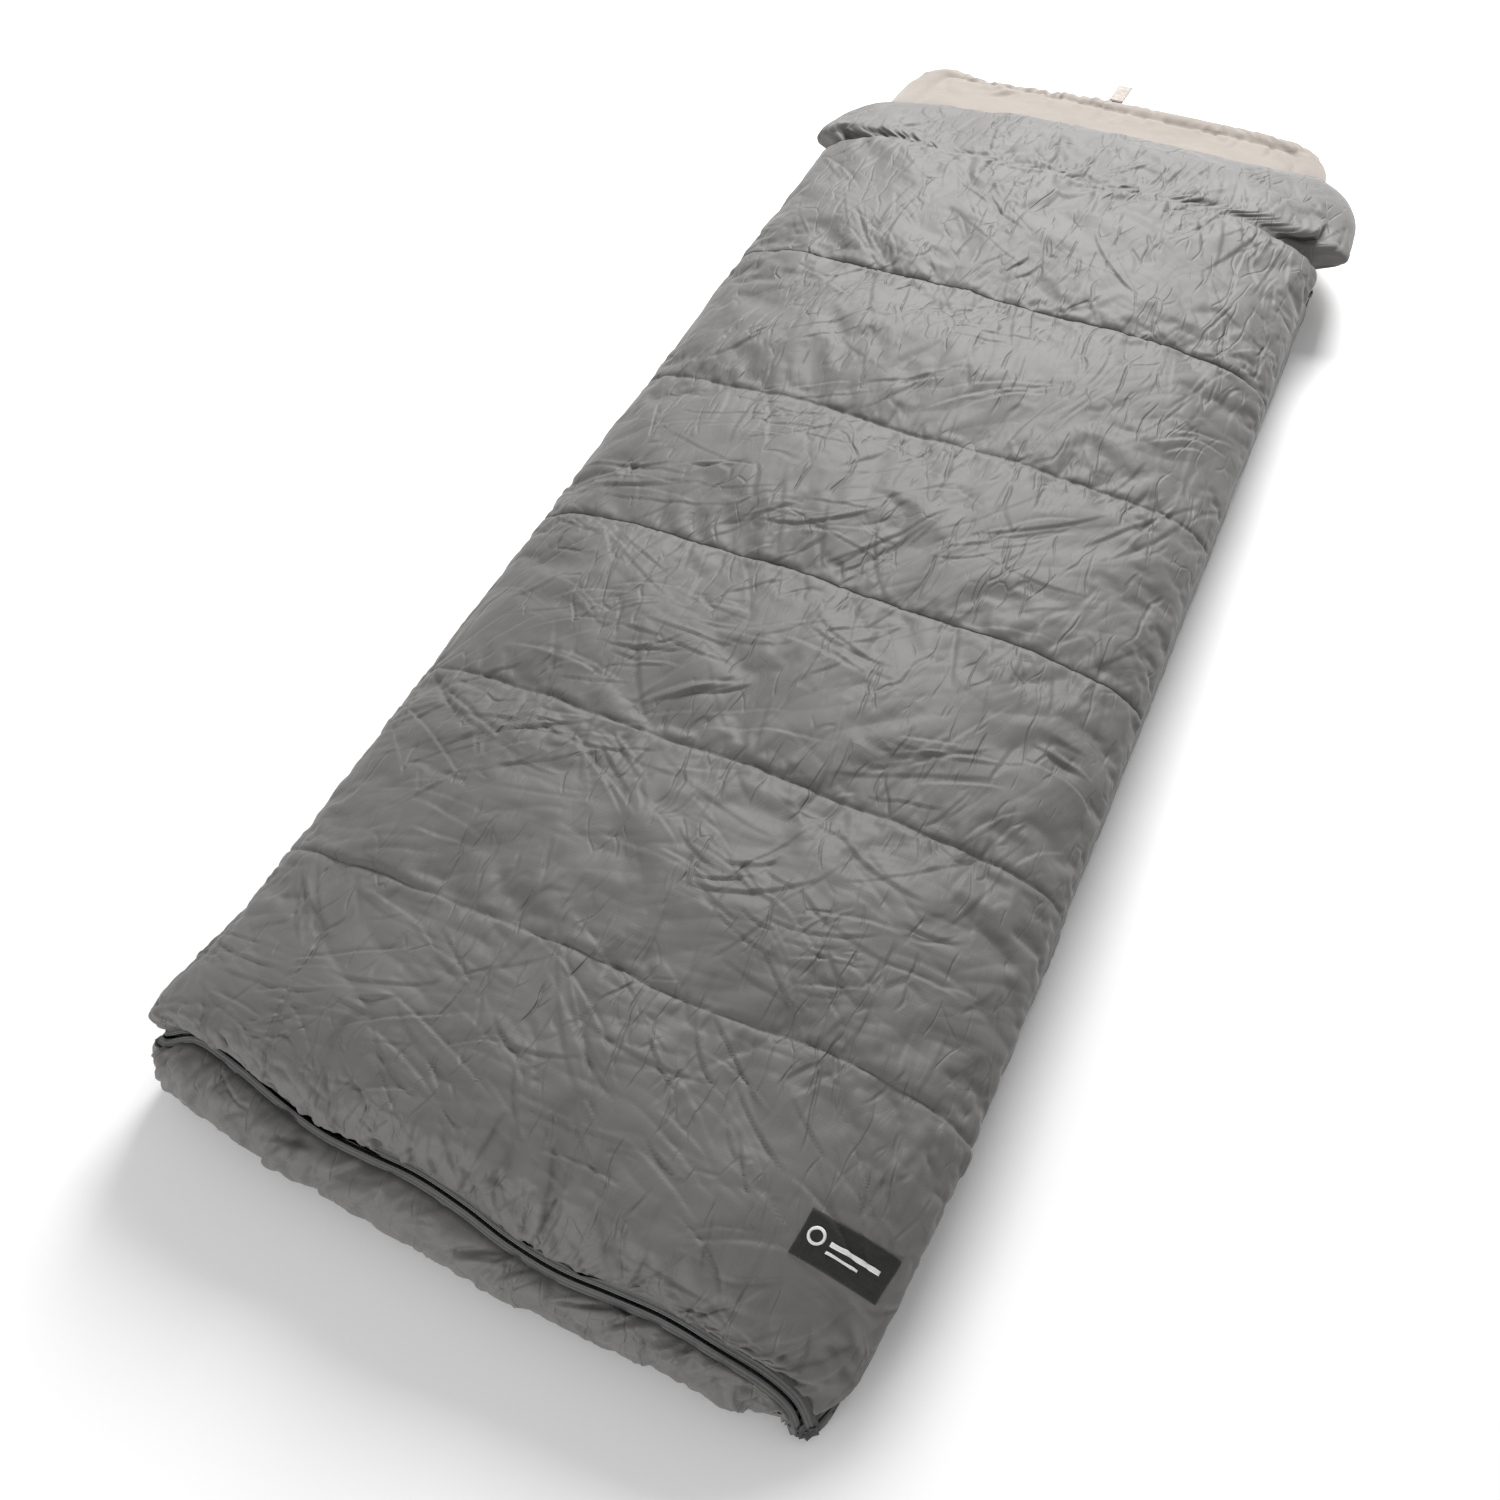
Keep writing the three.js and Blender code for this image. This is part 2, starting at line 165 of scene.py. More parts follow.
def patches(u, v, size, seed, share=0.5):
    """1 in some patches and 0 in others, with soft edges; a greater share covers more."""
    return smooth(share + 1.5 * grain(u / size, v / size, seed))


def make_mesh(name, points, faces, material, smooth_shading=True):
    mesh = bpy.data.meshes.new(name)
    mesh.from_pydata(points.tolist(), [], [list(map(int, f)) for f in faces])
    mesh.update()
    mesh.polygons.foreach_set("use_smooth", [smooth_shading] * len(mesh.polygons))
    mesh.materials.append(material)
    obj = bpy.data.objects.new(name, mesh)
    bpy.context.scene.collection.objects.link(obj)
    return obj


def grid_faces(rows, columns, offset=0, flip=False):
    index = np.arange(rows * columns).reshape(rows, columns) + offset
    f = np.stack([index[:-1, :-1], index[:-1, 1:], index[1:, 1:], index[1:, :-1]], -1).reshape(-1, 4)
    return f[:, ::-1] if flip else f


def edge_faces(top, bottom):
    """The strip that closes two matching grids, given their index arrays."""
    loop = lambda g: np.concatenate([g[0, :-1], g[:-1, -1], g[-1, :0:-1], g[:0:-1, 0]])
    a, b = loop(top), loop(bottom)
    return np.stack([a, b, np.roll(b, -1), np.roll(a, -1)], -1)


def closed_body(name, top, bottom, material):
    """A closed mesh between two grids of the same shape, the first facing up."""
    rows, columns = top.shape[:2]
    count = rows * columns
    index = np.arange(count).reshape(rows, columns)
    faces = np.vstack([
        grid_faces(rows, columns),
        grid_faces(rows, columns, count, flip=True),
        edge_faces(index, index + count),
    ])
    points = np.vstack([top.reshape(-1, 3), bottom.reshape(-1, 3)])
    return make_mesh(name, points, faces, material)


def piece(obj, body, slot, *replaced, fill=None):
    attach(obj, body)
    return finish_piece(obj, slot, *replaced, fill=fill)


def finish_piece(obj, slot, *replaced, fill=None):
    if replaced:
        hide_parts(*replaced)
    return obj


# ---------------------------------------------------------------- materials
def new_material(name, colour, roughness, **sockets):
    material = bpy.data.materials.new(name)
    material.use_nodes = True
    shader = material.node_tree.nodes["Principled BSDF"]
    shader.inputs["Base Color"].default_value = (*colour, 1)
    shader.inputs["Roughness"].default_value = roughness
    for socket, value in sockets.items():
        shader.inputs[socket.replace("_", " ")].default_value = value
    return material


def add_node(material, kind, **values):
    node = material.node_tree.nodes.new(kind)
    for key, value in values.items():
        if key in node.inputs:
            node.inputs[key].default_value = value
        else:
            setattr(node, key, value)
    return node


def link(material, a, out, b, into):
    material.node_tree.links.new(a.outputs[out], b.inputs[into])


def coordinates(material, stretch=(1, 1, 1)):
    where = add_node(material, "ShaderNodeTexCoord")
    mapping = add_node(material, "ShaderNodeMapping", Scale=stretch)
    link(material, where, "Object", mapping, "Vector")
    return mapping


def vary_colour(material, colour, other, scale, low=0.35, high=0.65, stretch=(1, 1, 1)):
    """Blotches between two colours."""
    texture = add_node(material, "ShaderNodeTexNoise", Scale=scale, Detail=4.0, Roughness=0.55)
    link(material, coordinates(material, stretch), "Vector", texture, "Vector")
    ramp = add_node(material, "ShaderNodeValToRGB")
    ramp.color_ramp.elements[0].position = low
    ramp.color_ramp.elements[0].color = (*colour, 1)
    ramp.color_ramp.elements[1].position = high
    ramp.color_ramp.elements[1].color = (*other, 1)
    link(material, texture, "Fac", ramp, "Fac")
    shader = material.node_tree.nodes["Principled BSDF"]
    link(material, ramp, "Color", shader, "Base Color")
    return texture


def add_bumps(material, *layers):
    """Bump layers, each (node, output, strength, distance), stacked in order."""
    shader = material.node_tree.nodes["Principled BSDF"]
    previous = None
    for node, output, strength, distance in layers:
        bump_node = add_node(material, "ShaderNodeBump", Strength=strength, Distance=distance)
        link(material, node, output, bump_node, "Height")
        if previous is not None:
            link(material, previous, "Normal", bump_node, "Normal")
        previous = bump_node
    link(material, previous, "Normal", shader, "Normal")


def weave_texture(material, pitch):
    """Crossing threads: two sine bands multiplied."""
    bands = []
    for direction in ("X", "Y"):
        wave = add_node(material, "ShaderNodeTexWave", Scale=1 / (pitch * 20), Distortion=0.6)
        wave.bands_direction = direction
        link(material, coordinates(material), "Vector", wave, "Vector")
        bands.append(wave)
    both = add_node(material, "ShaderNodeMath", operation="MULTIPLY")
    link(material, bands[0], "Fac", both, 0)
    link(material, bands[1], "Fac", both, 1)
    return both


def noise_texture(material, scale, detail=3.0, stretch=(1, 1, 1)):
    texture = add_node(material, "ShaderNodeTexNoise", Scale=scale, Detail=detail, Roughness=0.6)
    link(material, coordinates(material, stretch), "Vector", texture, "Vector")
    return texture


def ridges(material, scale):
    """Thin wandering lines: where a stretched noise passes its middle value."""
    texture = noise_texture(material, scale, 2.0, (1, 0.45, 1))
    texture.inputs["Distortion"].default_value = 0.8
    centred = add_node(material, "ShaderNodeMath", operation="SUBTRACT")
    centred.inputs[1].default_value = 0.5
    link(material, texture, "Fac", centred, 0)
    folded = add_node(material, "ShaderNodeMath", operation="ABSOLUTE")
    link(material, centred, "Value", folded, 0)
    sharp = add_node(material, "ShaderNodeMath", operation="POWER")
    sharp.inputs[1].default_value = 0.6
    link(material, folded, "Value", sharp, 0)
    return sharp


def dashes(material, scale, angle, width, patch_scale):
    """Sharp pressed lines, broken into patches: 0 along a line and 1 elsewhere."""
    place = coordinates(material, (1, 0.24, 0.6))
    place.inputs["Rotation"].default_value = (0, 0, math.radians(angle))
    wander = noise_texture(material, 7.0, 2.0)
    shift = add_node(material, "ShaderNodeVectorMath", operation="MULTIPLY_ADD")
    shift.inputs[1].default_value = (0.045, 0.045, 0.045)
    link(material, wander, "Color", shift, 0)
    link(material, place, "Vector", shift, 2)
    cells = add_node(material, "ShaderNodeTexVoronoi", feature="DISTANCE_TO_EDGE", Scale=scale)
    link(material, shift, "Vector", cells, "Vector")
    groove = add_node(material, "ShaderNodeMapRange", interpolation_type="SMOOTHSTEP")
    groove.inputs["From Max"].default_value = width * scale
    link(material, cells, "Distance", groove, "Value")
    groups = add_node(material, "ShaderNodeMapRange", interpolation_type="SMOOTHSTEP")
    groups.inputs["From Min"].default_value = 0.50
    groups.inputs["From Max"].default_value = 0.62
    link(material, noise_texture(material, patch_scale, 1.0), "Fac", groups, "Value")
    mixed = add_node(material, "ShaderNodeMix")
    mixed.inputs["A"].default_value = 1.0
    link(material, groups, "Result", mixed, "Factor")
    link(material, groove, "Result", mixed, "B")
    return mixed


def shell_fabric():
    """Smooth grey polyester: a tight weave, soft gloss, fine creasing."""
    gloss = {"Specular_IOR_Level": 0.35, "Sheen_Weight": 0.08}
    material = new_material("shell_fabric", (0.12, 0.12, 0.12), 0.60, **gloss)
    vary_colour(material, (0.112, 0.1085, 0.106), (0.130, 0.126, 0.123), 6.0)
    creases = ridges(material, 26.0)
    grain = noise_texture(material, 900.0, 2.0)
    weave = weave_texture(material, 0.0006)
    add_bumps(material, (creases, "Value", 0.30, 0.0030),
              (dashes(material, 17.0, 24.0, 0.0030, 11.0), "Result", 0.85, 0.0017),
              (dashes(material, 26.0, -48.0, 0.0022, 14.0), "Result", 0.85, 0.0012),
              (dashes(material, 40.0, 80.0, 0.0016, 17.0), "Result", 0.85, 0.0008),
              (weave, "Value", 0.10, 0.0004), (grain, "Fac", 0.16, 0.0006))
    return material


def lining_fabric():
    """Beige brushed cotton: matt, with a short nap."""
    brushed = {"Sheen_Weight": 0.20, "Sheen_Roughness": 0.7}
    material = new_material("lining_fabric", (0.23, 0.20, 0.175), 0.95, **brushed)
    vary_colour(material, (0.198, 0.170, 0.148), (0.224, 0.196, 0.172), 9.0)
    nap = noise_texture(material, 420.0, 5.0)
    folds = noise_texture(material, 30.0, 3.0)
    weave = weave_texture(material, 0.0011)
    add_bumps(material, (folds, "Fac", 0.25, 0.005), (weave, "Value", 0.15, 0.0006),
              (nap, "Fac", 0.35, 0.0008))
    return material


def tape_fabric():
    """Woven zip tape."""
    material = new_material("tape_fabric", (0.085, 0.085, 0.085), 0.7)
    vary_colour(material, (0.074, 0.074, 0.072), (0.092, 0.091, 0.089), 60.0)
    weave = weave_texture(material, 0.0009)
    add_bumps(material, (weave, "Value", 0.4, 0.0006))
    return material


def coil_plastic():
    material = new_material("coil_plastic", (0.04, 0.04, 0.04), 0.38)
    vary_colour(material, (0.034, 0.034, 0.034), (0.050, 0.050, 0.049), 200.0)
    add_bumps(material, (noise_texture(material, 700.0), "Fac", 0.1, 0.0003))
    return material


def zip_paint():
    """Dark painted metal, rubbed a little."""
    material = new_material("zip_paint", (0.06, 0.06, 0.06), 0.35, Metallic=0.7)
    vary_colour(material, (0.05, 0.05, 0.05), (0.10, 0.10, 0.10), 300.0, 0.45, 0.75)
    add_bumps(material, (noise_texture(material, 900.0), "Fac", 0.15, 0.0003))
    return material


def label_fabric():
    material = new_material("label_fabric", (0.009, 0.009, 0.008), 0.8, Sheen_Weight=0.1)
    vary_colour(material, (0.008, 0.008, 0.007), (0.013, 0.013, 0.012), 80.0)
    add_bumps(material, (weave_texture(material, 0.0008), "Value", 0.5, 0.0005))
    return material


def mark_thread():
    material = new_material("mark_thread", (0.72, 0.72, 0.70), 0.7)
    vary_colour(material, (0.66, 0.66, 0.64), (0.76, 0.76, 0.74), 400.0)
    add_bumps(material, (noise_texture(material, 1500.0), "Fac", 0.4, 0.0004))
    return material


def webbing_fabric():
    material = new_material("webbing_fabric", (0.34, 0.31, 0.28), 0.85)
    vary_colour(material, (0.30, 0.27, 0.24), (0.38, 0.35, 0.32), 120.0)
    add_bumps(material, (weave_texture(material, 0.0016), "Value", 0.6, 0.0010))
    return material


SHELL = shell_fabric()
LINING = lining_fabric()
TAPE = tape_fabric()
COIL = coil_plastic()
METAL = zip_paint()
LABEL = label_fabric()
MARK = mark_thread()
WEBBING = webbing_fabric()

# ---------------------------------------------------------------- where the foot zip runs
# Places along the zips are (x, distance in from the foot, z). Both start low at the +X corner.
ZIP_START = (HALF - 0.038, 0.010, 0.015)


def foot_zip():
    """Up from the +X corner, then waving across the foot and a little further in towards the -X corner."""
    points = [ZIP_START, (0.320, 0.020, 0.045), (0.290, 0.025, 0.065)]
    for share in np.linspace(0, 1, 12):
        wave = math.sin(2 * math.pi * (2.3 * share + 0.05))
        x = 0.245 - (HALF + 0.216) * share
        inset = 0.025 + 0.050 * share ** 1.5 + 0.004 * wave
        height = 0.080 + 0.014 * share ** 3 + 0.005 * wave
        points.append((x, inset, height))
    return points + [(-(HALF + 0.008), 0.065, 0.086)]


FOOT_ZIP = foot_zip()
LEFT_CORNER_ZIP = [(-0.388, 0.090, 0.076), (-0.380, 0.140, 0.077), (-0.377, 0.200, 0.079)]
RIGHT_CORNER_ZIP = [ZIP_START, (0.350, 0.045, 0.020), (0.360, 0.110, 0.040), (0.370, 0.200, 0.068)]


def zip_points(points, side):
    """The points in the frame, carried on straight up one side to the zip's end."""
    start = [(x, FOOT + y, z) for x, y, z in points]
    straight = [(side * ZIP_X, FOOT + y, ZIP_Z) for y in (0.28, 0.36)]
    return np.array(start + straight + [(side * ZIP_X, ZIP_END, ZIP_Z)])


def zip_path(points, side):
    """Smooth through the given points, then straight to the end."""
    points = zip_points(points, side)
    path = np.vstack([spline(points[:-1], 12), points[-1:]])
    return resample(path, int(arc_lengths(path)[-1] / 0.006))


LONG_ZIP = zip_path(FOOT_ZIP + LEFT_CORNER_ZIP, -1)
SIDE_ZIP = zip_path(RIGHT_CORNER_ZIP, 1)
def foot_share(normal):
    """1 where a wall faces the foot, 0 where it faces a side."""
    return smooth(np.clip(-normal[:, 1], 0, 1) / 0.8)[:, None]


def zip_frame(path):
    """For each point of a zip: the way along, the way out of the quilt, and the way up its tapes."""
    along = np.gradient(path, axis=0)
    along /= np.linalg.norm(along, axis=1, keepdims=True)
    level = along * (1, 1, 0)
    level /= np.linalg.norm(level, axis=1, keepdims=True)
    out = np.stack([-level[:, 1], level[:, 0], level[:, 2]], -1)
    if np.mean(out[:, 0] * path[:, 0] + out[:, 1] * (path[:, 1] + 0.2)) < 0:
        out = -out
    share = foot_share(out)
    up = (1 - 0.45 * share) * np.array([0, 0, 1.0]) - 0.85 * share * out
    up -= (up * along).sum(1, keepdims=True) * along
    up /= np.linalg.norm(up, axis=1, keepdims=True)
    face = np.cross(along, up)
    face *= np.sign((face * out).sum(1, keepdims=True) + 1e-9)
    return along, face, up


COIL_NEAR = ZIP_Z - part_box("side_zip_mat_coil")[1].z
COIL_FAR = ZIP_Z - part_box("side_zip_mat_coil")[0].z
CLOTH_START = 0.0105  # from the zip's middle to the cloth sewn over each tape


def split_at(path, y):
    """The number of points of a path before it first passes y going towards the head."""
    return int(np.argmax(path[:, 1] > y))


def sewn_line(path, side):
    """Where cloth is sewn along a zip's tape: side is 1 for the quilt's and -1 for the mat's."""
    _, face, up = zip_frame(path)
    line = path + up * side * CLOTH_START + face * 0.0012
    line[:, 2] = np.maximum(line[:, 2], 0.012)
    return line


FOOT_END = int(np.argmin(np.abs(LONG_ZIP[:, 0] - FOOT_ZIP[-1][0]) + (LONG_ZIP[:, 1] > FOOT + 0.08)))


def foot_line_at(x, side):
    """The (y, z) of the quilt's or the mat's sewn line where it crosses the foot at x."""
    line = sewn_line(LONG_ZIP, side)[:FOOT_END + 1][::-1]
    order = np.argsort(line[:, 0])
    return np.interp(x, line[order, 0], line[order, 1]), np.interp(x, line[order, 0], line[order, 2])


def side_line_at(y, path, side):
    """The (x, z) of the quilt's or the mat's sewn line on the side of `path`, past the foot."""
    line = sewn_line(path, side)
    line = line[FOOT_END:] if path[-1, 0] < 0 else line
    order = np.argsort(line[:, 1])
    return np.interp(y, line[order, 1], line[order, 0]), np.interp(y, line[order, 1], line[order, 2])


# ---------------------------------------------------------------- the quilt's cover
CELL = 0.0088
CROSS_CELLS = 104
FOOT_FALL = 0.105
SEAM_RISE = 0.0745
CROWN_RISE = 0.0775
FLAP_RISE = 0.028
HEM_ROUND = 0.050
HEM_Y = FLAP_HIGH.y - 0.012
HEM_SKEW = 0.032


def row_plan():
    """The rows from the foot zip to the hem as (y, rise), and the row number of each seam."""
    turn = np.linspace(0, math.pi / 2, 40)
    foot_y = FOOT + 0.045
    rising = np.stack([foot_y + FOOT_FALL * (1 - np.cos(turn)) ** 1.1, np.sin(turn) ** 0.9], -1)
    hem = np.stack([HEM_Y - HEM_ROUND + HEM_ROUND * np.sin(turn), np.cos(turn) ** 0.8], -1)
    spans = [np.vstack([rising, [SEAMS[0], 1]])]
    for a, b in zip(SEAMS[:-1], SEAMS[1:]):
        spans.append(np.array([[a, 1], [b, 1]]))
    spans.append(np.vstack([[[NECK, 1]], hem]))
    rows, seam_rows = [], []
    for span in spans:
        length = arc_lengths(span * (1, CROWN_RISE))[-1]
        count = max(4, int(round(length / CELL)))
        placed = resample(span * (1, CROWN_RISE), count + 1) / (1, CROWN_RISE)
        rows.extend(placed if not rows else placed[1:])
        seam_rows.append(len(rows) - 1)
    return np.array(rows), seam_rows[:-1]


def corner_droop(x, y):
    """How far the quilt's +X foot corner hangs down past the zips' start."""
    return 0.045 * bump(x, 0.385, 0.10) * bump(y, FOOT + 0.05, 0.10)


def side_reach(y, side):
    """How far the cover's side stands from the middle line."""
    in_from_foot = y - (FOOT + 0.045)
    reach = np.full_like(y, 0.381)
    if side < 0:
        reach = reach + 0.022 * bump(in_from_foot, 0.030, 0.085)
        reach = reach - 0.010 * (1 - np.sqrt(1 - np.clip(1 - in_from_foot / 0.025, 0, 1) ** 2))
    else:
        reach = reach - 0.008 * bump(in_from_foot, 0.030, 0.10)
        reach = reach - 0.040 * (1 - np.sqrt(1 - np.clip(1 - in_from_foot / 0.040, 0, 1) ** 2))
    wing = 0.024 if side < 0 else 0.036
    along = np.clip((y - NECK) / (HEM_Y - NECK), 0, 1)
    reach = reach - 0.030 * bump(y, NECK + 0.006, 0.013)
    reach = reach + wing * smooth(along / 0.14) * (1 - 0.3 * along)
    corner = np.clip((y - (HEM_Y - 0.125)) / 0.125, 0, 1)
    return reach - 0.095 * (1 - np.sqrt(1 - corner**2))


def crown_rise(y):
    """The cover's height above its base before it is inflated."""
    edges = [FOOT, *SEAMS]
    rise = np.full_like(y, CROWN_RISE)
    for a, b in zip(edges[:-1], edges[1:]):
        t = (y - a) / (b - a)
        inside = (t >= 0) & (t <= 1)
        swell = np.sin(np.pi * np.clip(t, 0, 1)) ** 0.7
        rise = np.where(inside, SEAM_RISE + (CROWN_RISE - SEAM_RISE) * swell, rise)
    along = np.clip((y - NECK) / (HEM_Y - NECK), 0, 1)
    flap = SEAM_RISE - 0.004 + (FLAP_RISE - SEAM_RISE + 0.004) * along + 0.010 * np.sin(np.pi * along)
    return np.where(y > NECK, flap, rise)


def pull_edges(grid):
    """Moves the cover's edges onto the lines where they are sewn, and the cloth near them less."""
    behind = np.exp(-arc_rows(grid) / 0.050)[..., None]
    y, z = foot_line_at(grid[0, :, 0], 1)
    grid += behind * (np.stack([grid[0, :, 0], y, z], -1) - grid[0])[None]
    for edge, path in ((0, LONG_ZIP), (-1, SIDE_ZIP)):
        away = np.abs(np.arange(grid.shape[1]) - edge % grid.shape[1]) * CELL
        x, z = side_line_at(grid[:, edge, 1], path, 1)
        past = smooth((grid[:, edge, 1] - NECK) / 0.02)
        x = x + (grid[:, edge, 0] - x) * past
        z = z + 0.016 * bump(grid[:, edge, 1], NECK + 0.045, 0.035)
        target = np.stack([x, grid[:, edge, 1], z], -1)
        grid += np.exp(-away / 0.035)[None, :, None] * (target - grid[:, edge])[:, None]
    return grid


def arc_rows(grid):
    """The distance of each point from the foot edge, along its column."""
    steps = np.linalg.norm(np.diff(grid, axis=0), axis=-1)
    return np.vstack([np.zeros(grid.shape[1]), np.cumsum(steps, axis=0)])


def cover_rest_shape():
    """The cover as cut and pinned, before it is inflated: rows of points from -X to +X."""
    rows, seam_rows = row_plan()
    y, rise = rows[:, 0], rows[:, 1]
    left, right = side_reach(y, -1), side_reach(y, 1)
    height = crown_rise(y) * rise
    low_left, low_right = (side_line_at(y, path, 1)[1] for path in (LONG_ZIP, SIDE_ZIP))
    turn = np.linspace(0, math.pi, 120)
    shape_x = -np.sign(np.cos(turn)) * np.abs(np.cos(turn)) ** 0.42
    shape_z = np.abs(np.sin(turn)) ** 0.85
    grid = []
    for i in range(len(rows)):
        middle, half = (right[i] - left[i]) / 2, (right[i] + left[i]) / 2
        share = (shape_x + 1) / 2
        x = middle + half * shape_x
        tuck = 0.010 * (1 - np.clip(shape_z / 0.25, 0, 1)) ** 2 * min(1, rise[i] * 3)
        x = x - np.sign(shape_x) * tuck
        base = low_left[i] + (low_right[i] - low_left[i]) * share**3
        z = base + height[i] * shape_z + (BASE - ZIP_Z - CLOTH_START) * shape_z
        z = z - corner_droop(x, y[i]) * shape_z
        line = np.stack([x, np.full_like(x, y[i]), z], -1)
        grid.append(resample(line, CROSS_CELLS + 1))
    grid = np.array(grid)
    grid = pull_edges(grid)
    # The hem is a little longer at +X.
    past_neck = np.clip((y - NECK) / (HEM_Y - NECK), 0, 1)[:, None]
    grid[:, :, 1] += past_neck * HEM_SKEW * np.clip(grid[:, :, 0] / HALF, -1, 1)
    return grid, seam_rows


def waver(grid, seam_rows):
    """Sewn lines wander a little and the surface starts out uneven."""
    out = grid.copy()
    out[:, :, 2] += 0.0018 * noise_field(grid, 0.090, 1.0) + 0.0012 * noise_field(grid, 0.035, 2.0)
    for number, row in enumerate(seam_rows):
        reach = np.exp(-((np.arange(len(grid)) - row) / 6.0) ** 2)[:, None]
        drift = 0.008 * noise_field(grid[row:row + 1], 0.16, 10.0 + number)
        drift = drift + 0.0025 * noise_field(grid[row:row + 1], 0.045, 15.0 + number)
        dip = 0.0035 * noise_field(grid[row:row + 1], 0.055, 20.0 + number)
        out[:, :, 1] += reach * drift
        out[:, :, 2] += reach * dip
    out[0] = grid[0]
    out[-1] = grid[-1]
    out[:, 0] = grid[:, 0]
    out[:, -1] = grid[:, -1]
    return out


def inflate(grid, pinned, slack, soft=0.03, pressure=0.17, bending=1.0, frames=22, cap=0.013):
    """Cloth held at `pinned` and softly by its fill elsewhere; `slack` is its spare length at each point."""
    rows, columns = grid.shape[:2]
    sheet = make_mesh("cloth_run", grid.reshape(-1, 3), grid_faces(rows, columns), SHELL)
    pins = sheet.vertex_groups.new(name="pins")
    for weight, members in ((1.0, pinned), (soft, ~pinned)):
        pins.add(np.nonzero(members.ravel())[0].tolist(), weight, "REPLACE")
    taut = sheet.vertex_groups.new(name="taut")
    most = float(slack.max())
    levels = np.round(1 - slack / most, 2).ravel()
    for level in np.unique(levels):
        taut.add(np.nonzero(levels == level)[0].tolist(), float(level), "REPLACE")
    cloth = sheet.modifiers.new("Cloth", "CLOTH")
    settings = cloth.settings
    settings.quality = 5
    settings.mass = 0.15
    settings.tension_stiffness = settings.compression_stiffness = 60
    settings.shear_stiffness = 20
    settings.bending_stiffness = bending
    settings.use_pressure = True
    settings.uniform_pressure_force = pressure
    settings.vertex_group_mass = "pins"
    settings.pin_stiffness = 1.0
    settings.vertex_group_shrink = "taut"
    settings.shrink_min = -most
    settings.shrink_max = 0.0
    settings.effector_weights.gravity = 0
    cloth.collision_settings.use_collision = False
    cloth.point_cache.frame_end = frames
    for number in range(1, frames + 1):
        bpy.context.scene.frame_set(number)
    shape = sheet.evaluated_get(bpy.context.evaluated_depsgraph_get()).data
    points = np.zeros(rows * columns * 3)
    shape.vertices.foreach_get("co", points)
    bpy.context.scene.frame_set(1)
    bpy.data.objects.remove(sheet, do_unlink=True)
    moved = points.reshape(grid.shape) - grid
    length = np.linalg.norm(moved, axis=-1, keepdims=True)
    return grid + moved * np.minimum(1, cap / np.maximum(length, 1e-9))


def cover_slack(grid, seam_rows):
    """Spare cloth: a little everywhere, more beside the seams, most at the gathered neck."""
    rows = np.arange(len(grid))[:, None]
    slack = np.full(grid.shape[:2], 0.007)
    for row in seam_rows:
        slack = slack + 0.005 * np.exp(-((rows - row) / 5.0) ** 2)
    slack = slack + 0.014 * np.exp(-((rows - seam_rows[-1]) / 10.0) ** 2)
    slack = slack + 0.030 * np.exp(-(rows / 10.0) ** 2)
    slack = slack + 0.013 * noise_field(grid, 0.12, 5.0)
    return np.clip(slack, 0.0, None)


# ---------------------------------------------------------------- creases
def press_creases(grid, creases, step):
    """Presses folds into a grid whose cells are about `step` wide.

    A crease is a short bent line with a narrow
    valley on one side and a ridge on the other: (row, column, angle, length, width, depth, bend)."""
    rows, columns = grid.shape[:2]
    lift = np.zeros((rows, columns))
    for row, column, angle, length, width, depth, bend_by in creases:
        half = int((length / 2 + 8 * width) / step) + 2
        r0, r1 = max(0, int(row) - half), min(rows, int(row) + half + 1)
        c0, c1 = max(0, int(column) - half), min(columns, int(column) + half + 1)
        if r1 - r0 < 3 or c1 - c0 < 3:
            continue
        v = (np.arange(r0, r1)[:, None] - row) * step
        u = (np.arange(c0, c1)[None, :] - column) * step
        along = (u * math.cos(angle) + v * math.sin(angle)) / (length / 2)
        across = -u * math.sin(angle) + v * math.cos(angle) - bend_by * along**2 * length
        taper = np.clip(1 - along**2, 0, 1) ** 0.7
        t = across / (width * (0.5 + 0.5 * taper)) * (1 if bend_by > 0 else -1)
        profile = np.tanh(1.5 * t) * np.where(t > 0, 0.70 * np.exp(-t / 2.6), np.exp(t / 1.5))
        lift[r0:r1, c0:c1] += depth * taper * profile
    return grid + grid_normals(grid) * lift[..., None]


def crease_family(centre, spread, angle, swing, count, length, depth, width=0.0045):
    """Creases scattered about (row, column), all near one angle. Angles are from +X towards the head."""
    found = []
    for _ in range(count):
        row = centre[0] + RNG.normal() * spread[0]
        column = centre[1] + RNG.normal() * spread[1]
        found.append((
            row, column, math.radians(angle + RNG.normal() * swing),
            length * RNG.uniform(0.45, 1.35), width * RNG.uniform(0.7, 1.5),
            depth * RNG.uniform(0.4, 1.3), RNG.uniform(-0.10, 0.10),
        ))
    return found


def seam_creases(row, columns, per_row, reach, depth, step, sides=(-1, 1)):
    """Short puckers that run off a sewn line."""
    found = []
    for _ in range(per_row):
        side = sides[RNG.randint(len(sides))]
        length = reach * RNG.uniform(0.3, 1.5) ** 1.3
        lean = RNG.normal() * 22
        column = RNG.uniform(0.02, 0.98) * columns
        centre = row + side * (length * 0.42) / step
        found.append((
            centre, column, math.radians(90 + lean), length, 0.0038 * RNG.uniform(0.7, 1.4),
            depth * RNG.uniform(0.4, 1.2), RNG.uniform(-0.08, 0.08),
        ))
    return found


